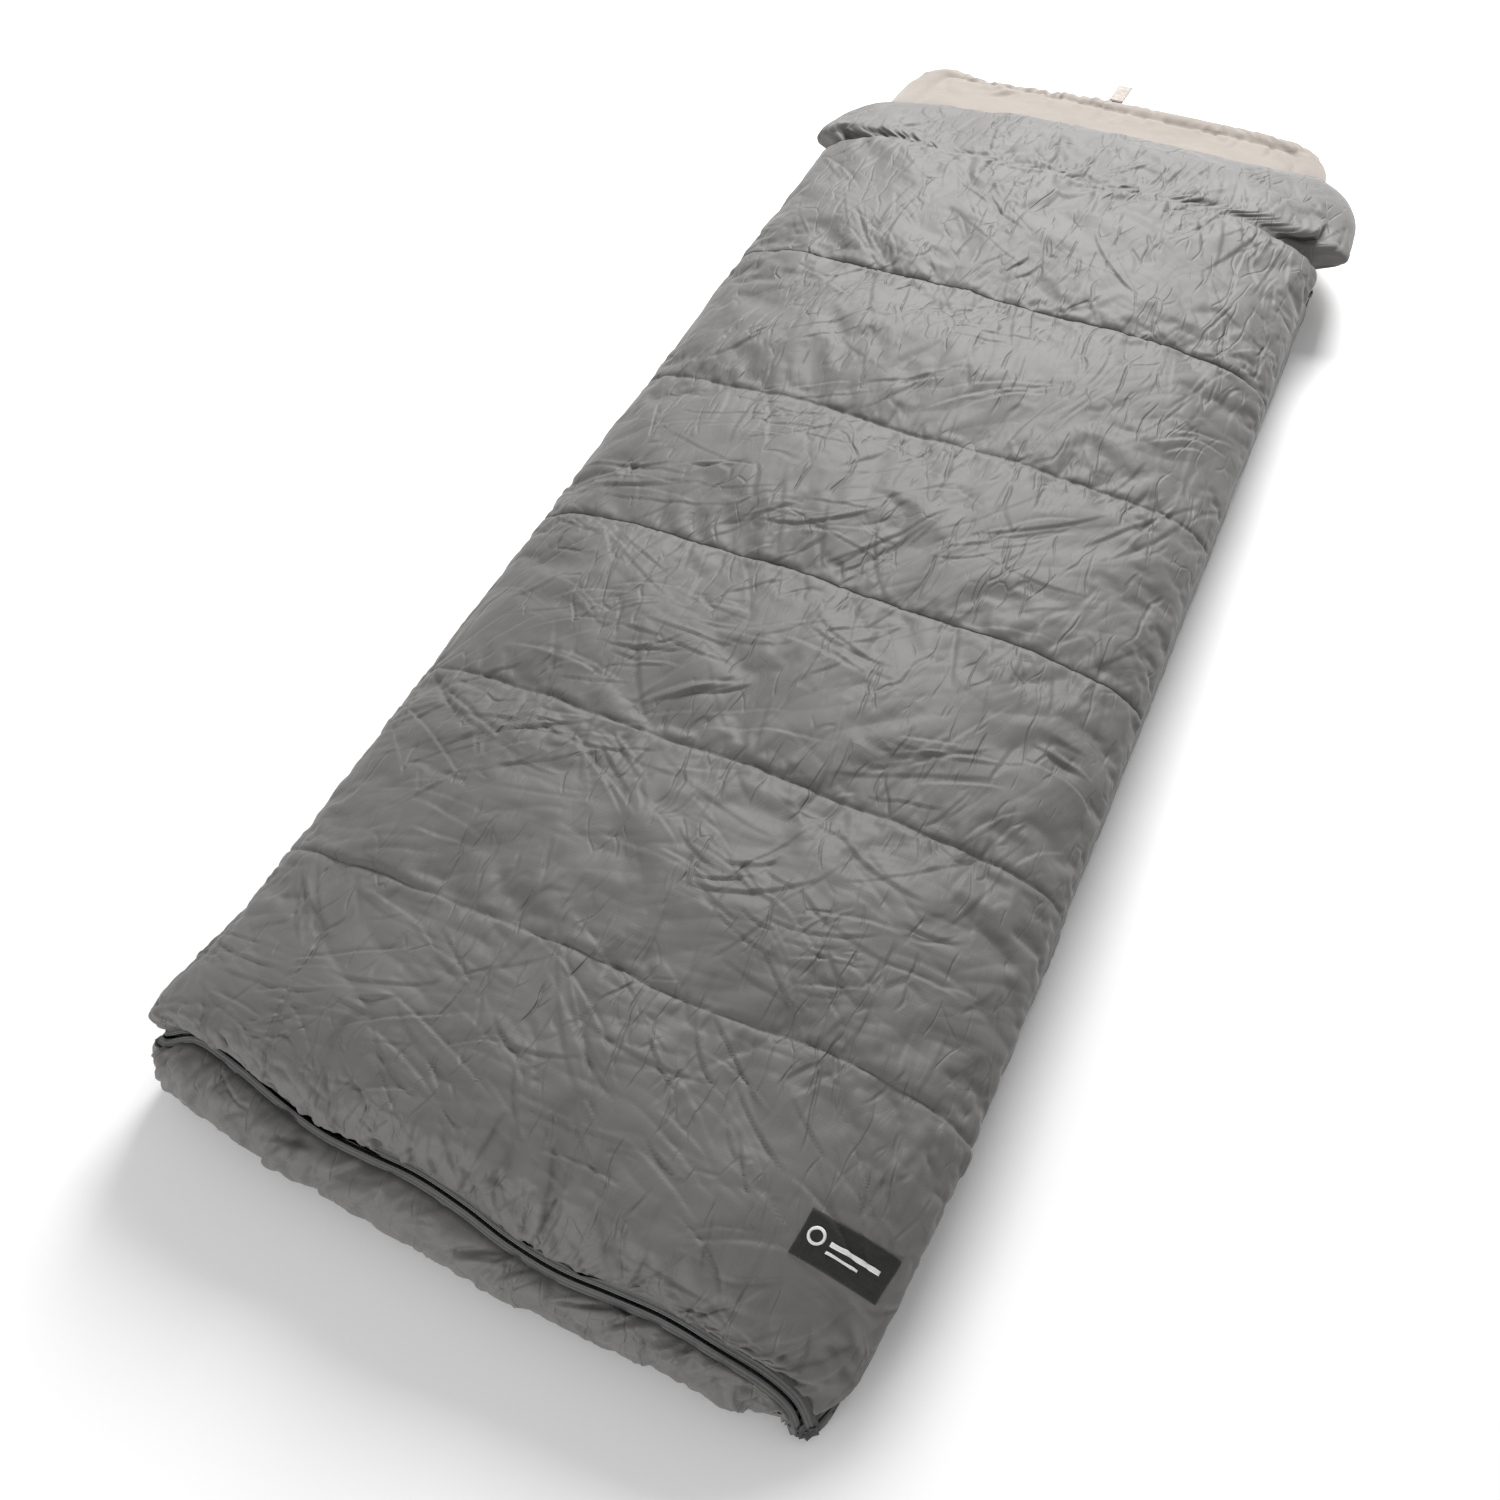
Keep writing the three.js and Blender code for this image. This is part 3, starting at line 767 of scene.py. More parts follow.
def sew(grid, seam_rows, step, depth=0.0019, width=0.0022):
    """Pulls each sewn line into a narrow groove."""
    rows = np.arange(len(grid))[:, None] * step
    normals = grid_normals(grid)
    lift = np.zeros(grid.shape[:2])
    for row in seam_rows:
        lift -= depth * np.exp(-np.abs((rows - row * step) / width) ** 1.4)
    return grid + normals * lift[..., None]


# Each chamber's folds from foot to head: two angles from +X towards the head, and how deep they are.
CHAMBER_FOLDS = [
    (-32, 12, 1.70), (-14, 24, 1.30), (38, -20, 1.05), (28, 62, 0.95), (72, 30, 0.95), (-50, 64, 0.80),
    (80, 30, 0.80),
]


# The strongest folds: middle (x, y), angle from +X, length of the bundle's folds, their number and depth.
FOLD_RNG = np.random.RandomState(23)


def fold_bundles():
    """Bundles of folds over each chamber, near its two directions: (x, y, angle, length, count, depth)."""
    edges = [FOOT + 0.03] + SEAMS + [FLAP_HIGH.y]
    found = []
    for number, (low, high) in enumerate(zip(edges[:-1], edges[1:])):
        columns = 9 if number == 0 else 6
        for column in range(columns):
            x = 0.94 * HALF * (2 * (column + FOLD_RNG.uniform(0.15, 0.85)) / columns - 1)
            y = low + (high - low) * FOLD_RNG.uniform(0.15, 0.85)
            angle = CHAMBER_FOLDS[number][column % 2] + FOLD_RNG.normal(0, 16)
            count = FOLD_RNG.randint(2, 7)
            depth = 0.0036 - 0.0002 * count - 0.0004 * FOLD_RNG.uniform()
            found.append((x, y, angle, FOLD_RNG.uniform(0.09, 0.22), count, depth))
    return found


# Where the flap's ends fold away from the neck a deep gap opens: middle (x, y), angle, length, width, depth.
FLAP_GAPS = [
    (-(HALF - 0.016), NECK + 0.018, 40, 0.070, 0.0055, 0.017),
    (HALF - 0.008, NECK + 0.044, 78, 0.075, 0.0060, 0.019),
]


def bundle_creases(grid, step):
    found = []
    for x, y, angle, length, width, depth in FLAP_GAPS:
        found.append((*nearest_top(grid, x, y), math.radians(angle), length, width, depth, 0.02))
    for x, y, angle, length, count, depth in fold_bundles():
        centre = nearest_top(grid, x, y)
        found += crease_family(centre, (0.014 / step, 0.014 / step), angle, 5, count, length, depth, 0.0026)
    return found


def nearest_top(grid, x, y):
    """The (row, column) of the grid's upper point nearest to (x, y)."""
    gap = np.hypot(grid[:, :, 0] - x, grid[:, :, 1] - y) + (grid[:, :, 2] < BASE + 0.02)
    return np.unravel_index(np.argmin(gap), gap.shape)


def fold_layer(grid, seams, step):
    """The height of all the small folds, chamber by chamber."""
    rows, columns = grid.shape[:2]
    v, u = np.meshgrid(np.arange(rows) * step, np.arange(columns) * step, indexing="ij")
    lift = np.zeros((rows, columns))
    edges = [0, *seams, rows - 1]
    for number, (low, high) in enumerate(zip(edges[:-1], edges[1:])):
        first, second, depth = CHAMBER_FOLDS[number]
        soft = 0.012
        mine = smooth((v - low * step) / soft + 0.5) * smooth((high * step - v) / soft + 0.5)
        seed = 100 + 20 * number
        coarse = crumple(u, v, first, 0.30, 0.062, seed) * patches(u, v, 0.16, seed + 3, 0.75)
        middle = crumple(u, v, second, 0.20, 0.036, seed + 5) * patches(u, v, 0.12, seed + 8, 0.55)
        fine = crumple(u, v, first + 25, 0.11, 0.019, seed + 10) * patches(u, v, 0.09, seed + 13, 0.50)
        lift += mine * depth * (0.0012 * coarse + 0.0010 * middle + 0.0007 * fine)
    for number, row in enumerate([0, *seams]):
        at_neck = number == len(seams)
        reach = 0.050 if at_neck else 0.030
        away = np.abs(v - row * step)
        lean = u + 0.35 * away * np.sign(grain(u / 0.11, u * 0 + number, 77))
        long_puckers = crumple(lean, v, 90, 0.16, 0.030, 300 + number)
        short_puckers = crumple(lean, v, 90, 0.07, 0.013, 330 + number)
        strength = 0.7 + 0.1 * at_neck
        lift += strength * 0.0018 * (long_puckers - 0.6) * np.exp(-away / reach)
        lift += strength * 0.0007 * (short_puckers - 0.6) * np.exp(-away / (0.5 * reach))
    return lift


def quilt_cover():
    """The whole cover as one fine grid, with the row number of each seam in it."""
    grid, seam_rows = cover_rest_shape()
    grid = waver(grid, seam_rows)
    pinned = np.zeros(grid.shape[:2], bool)
    pinned[seam_rows] = True
    pinned[[0, -1]] = True
    pinned[:, [0, -1]] = True
    grid = inflate(grid, pinned, cover_slack(grid, seam_rows))
    fine = refine(refine(grid))
    seams = [4 * row for row in seam_rows]
    step = CELL / 4
    columns = fine.shape[1]
    fine = fine + grid_normals(fine) * fold_layer(fine, seams, step)[..., None]
    creases = []
    for row in seams:
        creases += seam_creases(row, columns, 60, 0.090, 0.0019, step)
    creases += seam_creases(seams[-1], columns, 80, 0.120, 0.0022, step)
    creases += seam_creases(0, columns, 95, 0.080, 0.0030, step, sides=(1,))
    creases += bundle_creases(fine, step)
    edges = [0, *seams]
    for (a, b), (first, second, depth) in zip(zip(edges[:-1], edges[1:]), CHAMBER_FOLDS):
        for _ in range(9):
            centre = (a + (b - a) * RNG.uniform(0.05, 0.95), columns * RNG.uniform(0.10, 0.92))
            angle = first + 14 * RNG.normal() if RNG.uniform() < 0.6 else second + 14 * RNG.normal()
            spread = ((b - a) * 0.10, columns * 0.055)
            creases += crease_family(centre, spread, angle, 9, 8, 0.095, 0.0016 * depth, 0.0016)
        centre, spread = ((a + b) / 2, columns / 2), ((b - a) * 0.30, columns * 0.28)
        creases += crease_family(centre, spread, first, 22, 22, 0.150, 0.0012 * depth, 0.0021)
    fine = press_creases(fine, creases, step)
    fine = sew(fine, seams, step)
    return fine, seams


# ---------------------------------------------------------------- stage, light and camera
def build_stage():
    floor = make_mesh(
        "floor",
        np.array([[-30, -30, 0], [30, -30, 0], [30, 30, 0], [-30, 30, 0]], float),
        [[0, 1, 2, 3]],
        new_material("floor_white", (0.9, 0.9, 0.9), 0.9),
    )
    world = bpy.data.worlds.new("studio")
    world.use_nodes = True
    world.node_tree.nodes["Background"].inputs["Color"].default_value = (1, 1, 1, 1)
    world.node_tree.nodes["Background"].inputs["Strength"].default_value = 0.53
    bpy.context.scene.world = world


def area_light(name, place, target, size, power):
    data = bpy.data.lights.new(name, "AREA")
    data.shape = "SQUARE"
    data.size = size
    data.energy = power
    light = bpy.data.objects.new(name, data)
    light.location = place
    light.rotation_euler = (Vector(target) - Vector(place)).to_track_quat("-Z", "Y").to_euler()
    bpy.context.scene.collection.objects.link(light)


def build_camera():
    """A hand-held view from above the foot's +X corner."""
    data = bpy.data.cameras.new("camera")
    data.sensor_width = 36.0
    data.lens = 36.89
    data.clip_end = 100
    camera = bpy.data.objects.new("camera", data)
    place = Vector((0.4557, -1.3872, 1.4631))
    right = Vector((0.90629, 0.42224, -0.01851))
    forward = Vector((-0.26655, 0.53703, -0.80034))
    up = right.cross(forward)
    turned = Matrix((right, up, -forward)).transposed()
    camera.matrix_world = Matrix.Translation(place) @ turned.to_4x4()
    bpy.context.scene.collection.objects.link(camera)
    bpy.context.scene.camera = camera


build_stage()
area_light("head_light", (-0.3, 2.6, 2.2), (0, 0.6, 0), 1.6, 195)
area_light("front_light", (-0.6, -3.6, 0.7), (0, -1.0, 0), 1.6, 46)
build_camera()
bpy.context.scene.view_settings.view_transform = "Standard"

# ---------------------------------------------------------------- the quilt
COVER, COVER_SEAMS = quilt_cover()
STEP = CELL / 4
FIRST_CUT = COVER_SEAMS[2]
SECOND_CUT = COVER_SEAMS[4]
LAST_ROW = len(COVER) - 1
LINING_DEPTH = 0.0050
LINING_START = int(0.045 / STEP)


def row_width(top):
    return np.linspace(0, 1, top.shape[1])[None, :, None]


def underside(top):
    """A flat sheet under a stretch of cover. It stays under the cover where that comes down at the foot."""
    left, right = top[:, :1], top[:, -1:]
    flat = left + (right - left) * row_width(top)
    for i, row in enumerate(top):
        order = np.argsort(row[:, 0])
        x = flat[i, :, 0]
        flat[i, :, 1] = np.interp(x, row[order, 0], row[order, 1])
        above = np.interp(x, row[order, 0], row[order, 2])
        flat[i, 1:-1, 2] = np.minimum(np.maximum(flat[i, 1:-1, 2], BASE), above[1:-1] - 0.002)
        flat[i, [0, -1]] = row[[0, -1]]
    return flat


def cover_piece(name, first, last):
    """A stretch of cover closed by a flat underside of few columns, and filled at both ends."""
    top = COVER[first:last + 1]
    few = np.linspace(0, top.shape[1] - 1, 26).astype(int)[1:-1]
    under = underside(top)[:, few]
    rows, columns = top.shape[:2]
    over = np.arange(rows * columns).reshape(rows, columns)
    below = np.arange(rows * len(few)).reshape(rows, -1) + over.size
    below = np.hstack([over[:, :1], below, over[:, -1:]])
    flat = np.stack([below[:-1, :-1], below[1:, :-1], below[1:, 1:], below[:-1, 1:]], -1).reshape(-1, 4)
    ends = [[*over[0][::-1], *below[0, 1:-1]], [*over[-1], *below[-1, 1:-1][::-1]]]
    points = np.vstack([top.reshape(-1, 3), under.reshape(-1, 3)])
    return make_mesh(name, points, [*grid_faces(rows, columns), *flat, *ends], SHELL)


def lining_piece(name, first, last):
    """The quilt's beige underside: a thin sheet, drawn up at each sewn line and full between them."""
    start = max(first, LINING_START)
    flat = underside(COVER[start:last + 1])[::4, ::4].copy()
    inset = np.clip(np.abs(row_width(flat) - 0.5)[..., 0] * 2, 0, 1)
    flat[:, :, 0] *= 0.985
    rows = np.arange(start, last + 1)[::4][:, None]
    puff = np.ones((len(rows), 1))
    for seam in COVER_SEAMS:
        puff = puff * (1 - np.exp(-np.abs((rows - seam) * STEP / 0.030) ** 1.2))
    edge = np.clip((1 - inset) / 0.12, 0, 1) ** 0.6
    ripple = 0.0010 * noise_field(flat, 0.035, 31.0)
    top, low = flat.copy(), flat.copy()
    low[:, :, 2] -= 0.0028 + (LINING_DEPTH - 0.0028 + ripple) * puff * edge
    top[:, :, 2] = low[:, :, 2] + 0.0008
    obj = closed_body(name, top, low, LINING)
    return obj


lower = cover_piece("quilt_cover_lower", 0, FIRST_CUT)
piece(lower, "quilt", "shell", "quilt_lower_shell", "quilt_fill_1", "quilt_fill_2", "quilt_fill_3", fill=0.7)
fold = cover_piece("quilt_cover_fold", FIRST_CUT, SECOND_CUT)
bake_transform(fold)
finish_piece(fold, "shell", "quilt_fill_4", "quilt_fill_5", fill=0.7)
upper = cover_piece("quilt_cover_upper", SECOND_CUT, LAST_ROW)
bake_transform(upper)
finish_piece(upper, "shell", "quilt_upper_shell", "quilt_fill_6", "neck_flap_shell", "neck_flap_fill",
             "neck_elastic", fill=0.7)

lower_lining = lining_piece("quilt_lining_lower", 0, FIRST_CUT)
piece(lower_lining, "quilt", "lining", "quilt_lower_lining")
fold_lining = lining_piece("quilt_lining_fold", FIRST_CUT, SECOND_CUT)
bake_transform(fold_lining)
finish_piece(fold_lining, "lining", "quilt_upper_lining")
upper_lining = lining_piece("quilt_lining_upper", SECOND_CUT, LAST_ROW)
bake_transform(upper_lining)
finish_piece(upper_lining, "lining", "neck_flap_lining")

# ---------------------------------------------------------------- the mat
MAT_SIDE = HALF + 0.009  # the mat's straight sides at their widest


def corner(middle, radius, start, end):
    """Points round a corner, between two angles in degrees."""
    angles = np.radians(np.linspace(start, end, 5))
    return [(middle[0] + radius * math.cos(a), middle[1] + radius * math.sin(a)) for a in angles]


# The mat's outline at its widest: round corners joined by nearly straight runs. y is in from the foot,
# or for HEAD_EDGE from the head.
EDGE_START = (ZIP_START[0] - 0.014, 0.013)
FOOT_EDGE = [EDGE_START, (0.24, 0.0), (0.0, 0.0), (-0.25, 0.015)]
FOOT_EDGE += corner((-(HALF - 0.024), 0.080), 0.049, 265, 175) + [(-MAT_SIDE, 0.20), (-MAT_SIDE, 0.29)]
RIGHT_EDGE = [EDGE_START, (0.355, 0.20), (MAT_SIDE, 0.42)]
HEAD_EDGE = [(-MAT_SIDE, -0.43), (-MAT_SIDE, -0.25)] + corner((-0.295, -0.125), 0.089, 180, 90)
HEAD_EDGE += [(-0.15, -0.022), (0.0, -0.008), (0.15, -0.006)]
HEAD_EDGE += corner((0.240, -0.100), 0.090, 85, 0) + [(0.355, -0.25), (MAT_SIDE, -0.43)]
WIDEST_Z = 0.036
WALL_CELL = 0.0034
TUCK = 0.024


HEAD_PRESS = 0.42


def head_thin(y):
    """The mat is pressed flatter towards its head edge."""
    return 1 - HEAD_PRESS * smooth((y - HEAD + 0.24) / 0.20)


def plan_curve(points, y_from, z):
    return spline([(x, y_from + y, z) for x, y in points], 10)


def wall_lines():
    """Matching closed lines round the mat: its top edge under the zips, and its outline at its widest."""
    tops, edges = [], []
    foot_edge = plan_curve(FOOT_EDGE, FOOT, WIDEST_Z)
    right_edge = plan_curve(RIGHT_EDGE, FOOT, WIDEST_Z)
    for path, edge in ((LONG_ZIP, foot_edge), (SIDE_ZIP, right_edge)):
        low = sewn_line(path, -1)
        last = split_at(path, edge[-1, 1])
        first_part = resample(low[:last + 1], int(arc_lengths(edge)[-1] / WALL_CELL))
        side = np.sign(edge[-1, 0])
        count = int((ZIP_END - edge[-1, 1]) / WALL_CELL)
        straight = resample(np.vstack([first_part[-1:], low[-1:]]), count)[1:]
        beside = straight.copy()
        beside[:, 0], beside[:, 2] = side * MAT_SIDE, WIDEST_Z
        tops.append(np.vstack([first_part, straight]))
        edges.append(np.vstack([resample(edge, len(first_part)), beside]))
    head = plan_curve(HEAD_EDGE, HEAD, WIDEST_Z)
    centre = np.array([-0.02, HEAD - 0.40, WIDEST_Z])
    inset = 0.055 * smooth((head[:, 1:2] - ZIP_END - 0.010) / 0.07)
    inside = head + inset * (centre - head) * (1, 1, 0)
    head_line = resample(inside, int(arc_lengths(head)[-1] / WALL_CELL))
    head_line[:, 2] *= head_thin(head_line[:, 1]) ** 1.5
    head_top = head_line + (centre - head_line) * (0.03, 0.05, 0)
    head_top[:, 2] = 0.050 * head_thin(head_top[:, 1]) ** 1.6
    top = np.vstack([tops[0], head_top[1:-1], tops[1][::-1][:-1]])
    edge = np.vstack([edges[0], head_line[1:-1], edges[1][::-1][:-1]])
    return top, edge


def ring_stack(name, rings, material):
    """A closed body from matching loops, the first and last filled flat."""
    count = rings.shape[1]
    index = np.arange(rings.shape[0] * count).reshape(rings.shape[0], count)
    a, b = index[:-1], index[1:]
    walls = np.stack([a, b, np.roll(b, -1, axis=1), np.roll(a, -1, axis=1)], -1).reshape(-1, 4)
    faces = [list(f) for f in walls] + [list(index[0]), list(index[-1][::-1])]
    return make_mesh(name, rings.reshape(-1, 3), faces, material)


def mat_wall():
    """Rings from the top edge, out round the puffed wall and under to the ground."""
    top, edge = wall_lines()
    level = np.gradient(np.vstack([edge[-1:], edge, edge[:1]]), axis=0)[1:-1] * (1, 1, 0)
    out = np.stack([-level[:, 1], level[:, 0], level[:, 2]], -1)
    out /= np.linalg.norm(out, axis=1, keepdims=True)
    if np.mean(out[:, 0] * edge[:, 0] + out[:, 1] * edge[:, 1]) < 0:
        out = -out
    inner = top - out * 0.035
    inner[:, 2] = 0.050 * head_thin(inner[:, 1]) ** 1.6 - corner_droop(inner[:, 0], inner[:, 1])
    rings = [inner]
    for t in np.linspace(0, math.pi / 2, 20)[:-1]:
        rings.append(top + (edge - top) * (math.sin(t) ** 0.8, math.sin(t) ** 0.8, 1 - math.cos(t) ** 0.9))
    for t in np.linspace(0, math.pi / 2, 13):
        ring = edge - out * TUCK * (1 - math.cos(t) ** 0.8)
        ring[:, 2] = edge[:, 2] * (1 - math.sin(t) ** 0.9)
        rings.append(ring)
    return np.array(rings)


def puckered(rings):
    """Folds drawn up by the zip, deepest at the foot: broad swells, leaning folds and short sharp puckers."""
    wall = rings[1:-1]
    normals = grid_normals(wall)
    normals *= np.sign((normals * (wall - wall.mean((0, 1)))).sum(-1, keepdims=True))
    rows, count = wall.shape[:2]
    u = np.broadcast_to(np.arange(count) * WALL_CELL, (rows, count))
    v = np.vstack([np.zeros(count), np.cumsum(np.linalg.norm(np.diff(wall, axis=0), axis=-1), axis=0)])
    share = v / v[-1]
    lift = 0.0075 * grain(u / 0.085, v / 0.20, 60) + 0.0036 * (crumple(u, v, 74, 0.16, 0.040, 61) - 0.6)
    lift += 0.0026 * (crumple(u, v, 112, 0.10, 0.024, 62) - 0.6) * patches(u, v, 0.08, 63, 0.6)
    lift += 0.0022 * (crumple(u, v, 24, 0.13, 0.030, 64) - 0.6) * patches(u, v, 0.09, 65, 0.5)
    at_foot = np.exp(-np.clip(wall[:, :, 1] - FOOT - 0.06, 0, None) / 0.10)
    fade = np.sin(np.pi * np.clip(share * 0.84 + 0.12, 0, 1)) ** 0.5
    wall = wall + normals * (lift * (0.45 + 0.55 * at_foot) * fade)[..., None]
    creases = []
    step = float(v[-1].mean()) / rows
    for _ in range(150):
        length = 0.055 * RNG.uniform(0.4, 1.2)
        column = RNG.uniform(0.0, 0.95) * 0.9 / WALL_CELL
        creases.append((RNG.uniform(0.08, 0.55) * rows, column, math.radians(90 + 24 * RNG.normal()), length,
                        0.0024 * RNG.uniform(0.8, 1.4), 0.0046 * RNG.uniform(0.4, 1.3),
                        RNG.uniform(-0.1, 0.1)))
    wall = wall - (press_creases(wall, creases, step) - wall) * wall_facing(wall, normals)
    wall[:, :, 2] = np.maximum(wall[:, :, 2], 0.0005)
    return np.concatenate([rings[:1], wall, rings[-1:]])


def wall_facing(wall, normals):
    """-1 where the grid's own normals point out of the mat, and 1 where they point in."""
    return -np.sign((grid_normals(wall) * normals).sum(-1, keepdims=True))


mat_cover = ring_stack("mat_cover", puckered(mat_wall()), SHELL)
piece(mat_cover, "mat", "shell", "mat_shell", *[f"mat_fill_{i}" for i in range(1, 8)], fill=0.8)


MAT_SEAMS = [
    (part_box(f"mat_fill_{i}")[1].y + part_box(f"mat_fill_{i + 1}")[0].y) / 2 for i in range(1, 7)
]
LINING_CELL = 0.0044
ROLL = 0.040


def side_line(y, side):
    """Where the mat's lining ends at one side, as (x, z)."""
    path = LONG_ZIP if side < 0 else SIDE_ZIP
    start = split_at(path, FOOT + 0.10) if side < 0 else 0
    x = np.interp(y, path[start:, 1], path[start:, 0]) - side * 0.009
    z = np.interp(y, path[start:, 1], path[start:, 2]) - 0.008
    head = plan_curve(HEAD_EDGE, HEAD, WIDEST_Z)
    middle = len(head) // 2
    half = head[:middle] if side < 0 else head[middle:][::-1]
    keep = half[:, 1] < HEAD - 0.13
    out = np.interp(y, half[keep, 1], half[keep, 0]) + side * 0.004
    past = smooth((y - ZIP_END - 0.018) / 0.05)
    return x + (out - x) * past, z * (1 - past) + 0.006 * past


def mat_lining_grid():
    """The beige top: inside the zips to the neck, then over the sides and head down to the ground."""
    turn = np.linspace(0, math.pi / 2, 16)
    head_edge = HEAD - 0.007
    outline = [(FOOT + 0.062 + 0.03 * t, t) for t in (0.0, 0.4, 0.75, 1.0)]
    outline += [(head_edge - ROLL + ROLL * math.sin(t), math.cos(t) ** 0.75) for t in turn]
    outline = np.array(outline)
    length = arc_lengths(outline * (1, MAT_TOP))[-1]
    rows = resample(outline * (1, MAT_TOP), int(length / LINING_CELL)) / (1, MAT_TOP)
    columns = int(0.86 / LINING_CELL)
    head = plan_curve(HEAD_EDGE, HEAD, WIDEST_Z)
    head = head[head[:, 1] > HEAD - 0.10]
    grid = []
    for y, rise in rows:
        left, left_z = side_line(y, -1)
        right, right_z = side_line(y, 1)
        corner = np.clip((y - (head_edge - 0.105)) / 0.105, 0, 1)
        cut = 0.070 * (1 - math.sqrt(1 - corner**2))
        corner = np.clip(1 - (y - (FOOT + 0.062)) / 0.04, 0, 1)
        cut += 0.035 * (1 - math.sqrt(1 - corner**2))
        left, right = left + cut, right - cut
        angle = np.linspace(0, math.pi, 160)
        share = (1 - np.sign(np.cos(angle)) * np.abs(np.cos(angle)) ** 0.30) / 2
        lift = np.sin(angle) ** 0.62
        x = left + (right - left) * share
        tucked = 0.014 * np.clip(1 - lift / 0.4, 0, 1) * smooth((y - ZIP_END - 0.025) / 0.06)
        x += tucked * np.sign(0.5 - share)
        base = (left_z + (right_z - left_z) * share) * rise
        z = base + (MAT_TOP * rise - base) * lift
        line = np.stack([x, np.full_like(x, y), z], -1)
        grid.append(resample(line, columns))
    grid = np.array(grid)
    zip_y, zip_z = foot_line_at(grid[0, :, 0], -1)
    behind = np.exp(-(rows[:, 0] - rows[0, 0]) / 0.05)[:, None]
    grid[:, :, 1] += behind * (zip_y + 0.026 - grid[0, :, 1])[None, :]
    grid[:, :, 2] += behind * (np.minimum(zip_z - 0.004, 0.064) - grid[0, :, 2])[None, :]
    edge_shift = np.interp(grid[:, :, 0], head[:, 0], head[:, 1]) - head[:, 1].max()
    near_head = smooth((grid[:, :, 1] - HEAD + 0.30) / 0.22)
    grid[:, :, 1] += edge_shift * near_head * (1 - smooth((np.abs(grid[:, :, 0] + 0.025) - 0.22) / 0.10))
    return grid, head_edge


def mat_lining():
    grid, head_edge = mat_lining_grid()
    grid[:, :, 2] *= head_thin(grid[:, :, 1])
    edge_distance = np.minimum.reduce([
        grid[:, :, 0] - grid[:, :, 0].min(1, keepdims=True),
        grid[:, :, 0].max(1, keepdims=True) - grid[:, :, 0],
        head_edge - grid[:, :, 1],
    ])
    normals = grid_normals(grid)
    lift = 0.0014 * noise_field(grid, 0.10, 41.0) + 0.0008 * noise_field(grid, 0.030, 42.0) - 0.001
    for seam in MAT_SEAMS:
        lift -= 0.0060 * np.exp(-np.abs((grid[:, :, 1] - seam) / 0.011) ** 1.1)
    near_head = smooth((grid[:, :, 1] - ZIP_END - 0.05) / 0.08)
    rim = np.exp(-np.abs((edge_distance - 0.052) / 0.0075) ** 1.3)
    lift -= 0.0070 * rim * near_head
    grid = grid + normals * lift[..., None]
    columns = grid.shape[1]
    rim_row = int(np.argmax(grid[:, columns // 2, 1] > head_edge - 0.052))
    creases = seam_creases(rim_row, columns, 90, 0.050, 0.0042, LINING_CELL)
    creases += seam_creases(rim_row + 8, columns, 60, 0.045, 0.0040, LINING_CELL)
    for seam in MAT_SEAMS:
        row = int(np.argmax(grid[:, columns // 2, 1] > seam))
        creases += seam_creases(row, columns, 26, 0.040, 0.0014, LINING_CELL)
    grid = press_creases(grid, creases, LINING_CELL)
    grid[:, :, 2] -= 1.2 * corner_droop(grid[:, :, 0], grid[:, :, 1])
    grid[:, :, 2] = np.clip(grid[:, :, 2], 0.0035, 0.0752)
    below = grid - grid_normals(grid) * 0.0012
    below[:, :, 2] = np.maximum(below[:, :, 2], 0.0015)
    return grid, below


LINING_TOP, LINING_BELOW = mat_lining()
lining = closed_body("mat_lining_top", LINING_TOP, LINING_BELOW, LINING)
piece(lining, "mat", "lining", "mat_lining")

# ---------------------------------------------------------------- zips
TOOTH = 0.0032
BOX_SIZE = (0.0070, 0.0030, 0.0090)
PIN_SIZE = (0.0100, 0.0020, 0.0080)
# Across a tape from the coil to its edge under the cloth, as (distance from the zip's middle, height):
# two woven ridges with a groove between, then down under the cloth and back along the inside.
TAPE_SECTION = [
    (0.0022, 0.0000), (0.0034, 0.0011), (0.0050, 0.0011), (0.0061, 0.0000), (0.0072, 0.0008),
    (0.0088, 0.0006), (0.0098, -0.0016), (0.0136, -0.0026), (0.0136, -0.0036), (0.0098, -0.0028),
    (0.0022, -0.0014),
]


def tape_strip(name, path, side):
    """The woven tape beside a zip: side is 1 for the quilt's and -1 for the mat's."""
    _, face, up = zip_frame(path)
    rings = np.array([path + up * side * a + face * b for a, b in TAPE_SECTION]).transpose(1, 0, 2)
    rings[:, :, 2] = np.maximum(rings[:, :, 2], 0.001)
    return ring_stack(name, rings, TAPE)


def coil(name, path, side):
    """One half of the zip's coil: a rounded bead with a turn for each tooth."""
    even = resample(path, int(arc_lengths(path)[-1] / TOOTH) * 2)
    _, face, up = zip_frame(even)
    turn = np.arange(len(even)) % 2
    middle, radius = side * (COIL_NEAR + COIL_FAR) / 2, (COIL_FAR - COIL_NEAR) / 2
    rings = []
    for angle in np.linspace(0, 2 * math.pi, 7)[:-1]:
        size = radius * np.where(turn == 0, 1.0, 0.72)[:, None]
        rings.append(even + up * (middle + size * math.cos(angle)) + face * (size * 0.8 * math.sin(angle)))
    return ring_stack(name, np.array(rings).transpose(1, 0, 2), COIL)


def part_of(path, low, high):
    """A path cut at two heights along Y; a low of None keeps its start."""
    first = 0 if low is None else split_at(path, low)
    last = len(path) if high is None else split_at(path, high)
    cut = path[first:last]
    if low is not None:
        cut = np.vstack([[[cut[0, 0], low, cut[0, 2]]], cut])
    if high is not None:
        cut = np.vstack([cut, [[cut[-1, 0], high, cut[-1, 2]]]])
    return resample(cut, int(arc_lengths(cut)[-1] / 0.007) + 2)


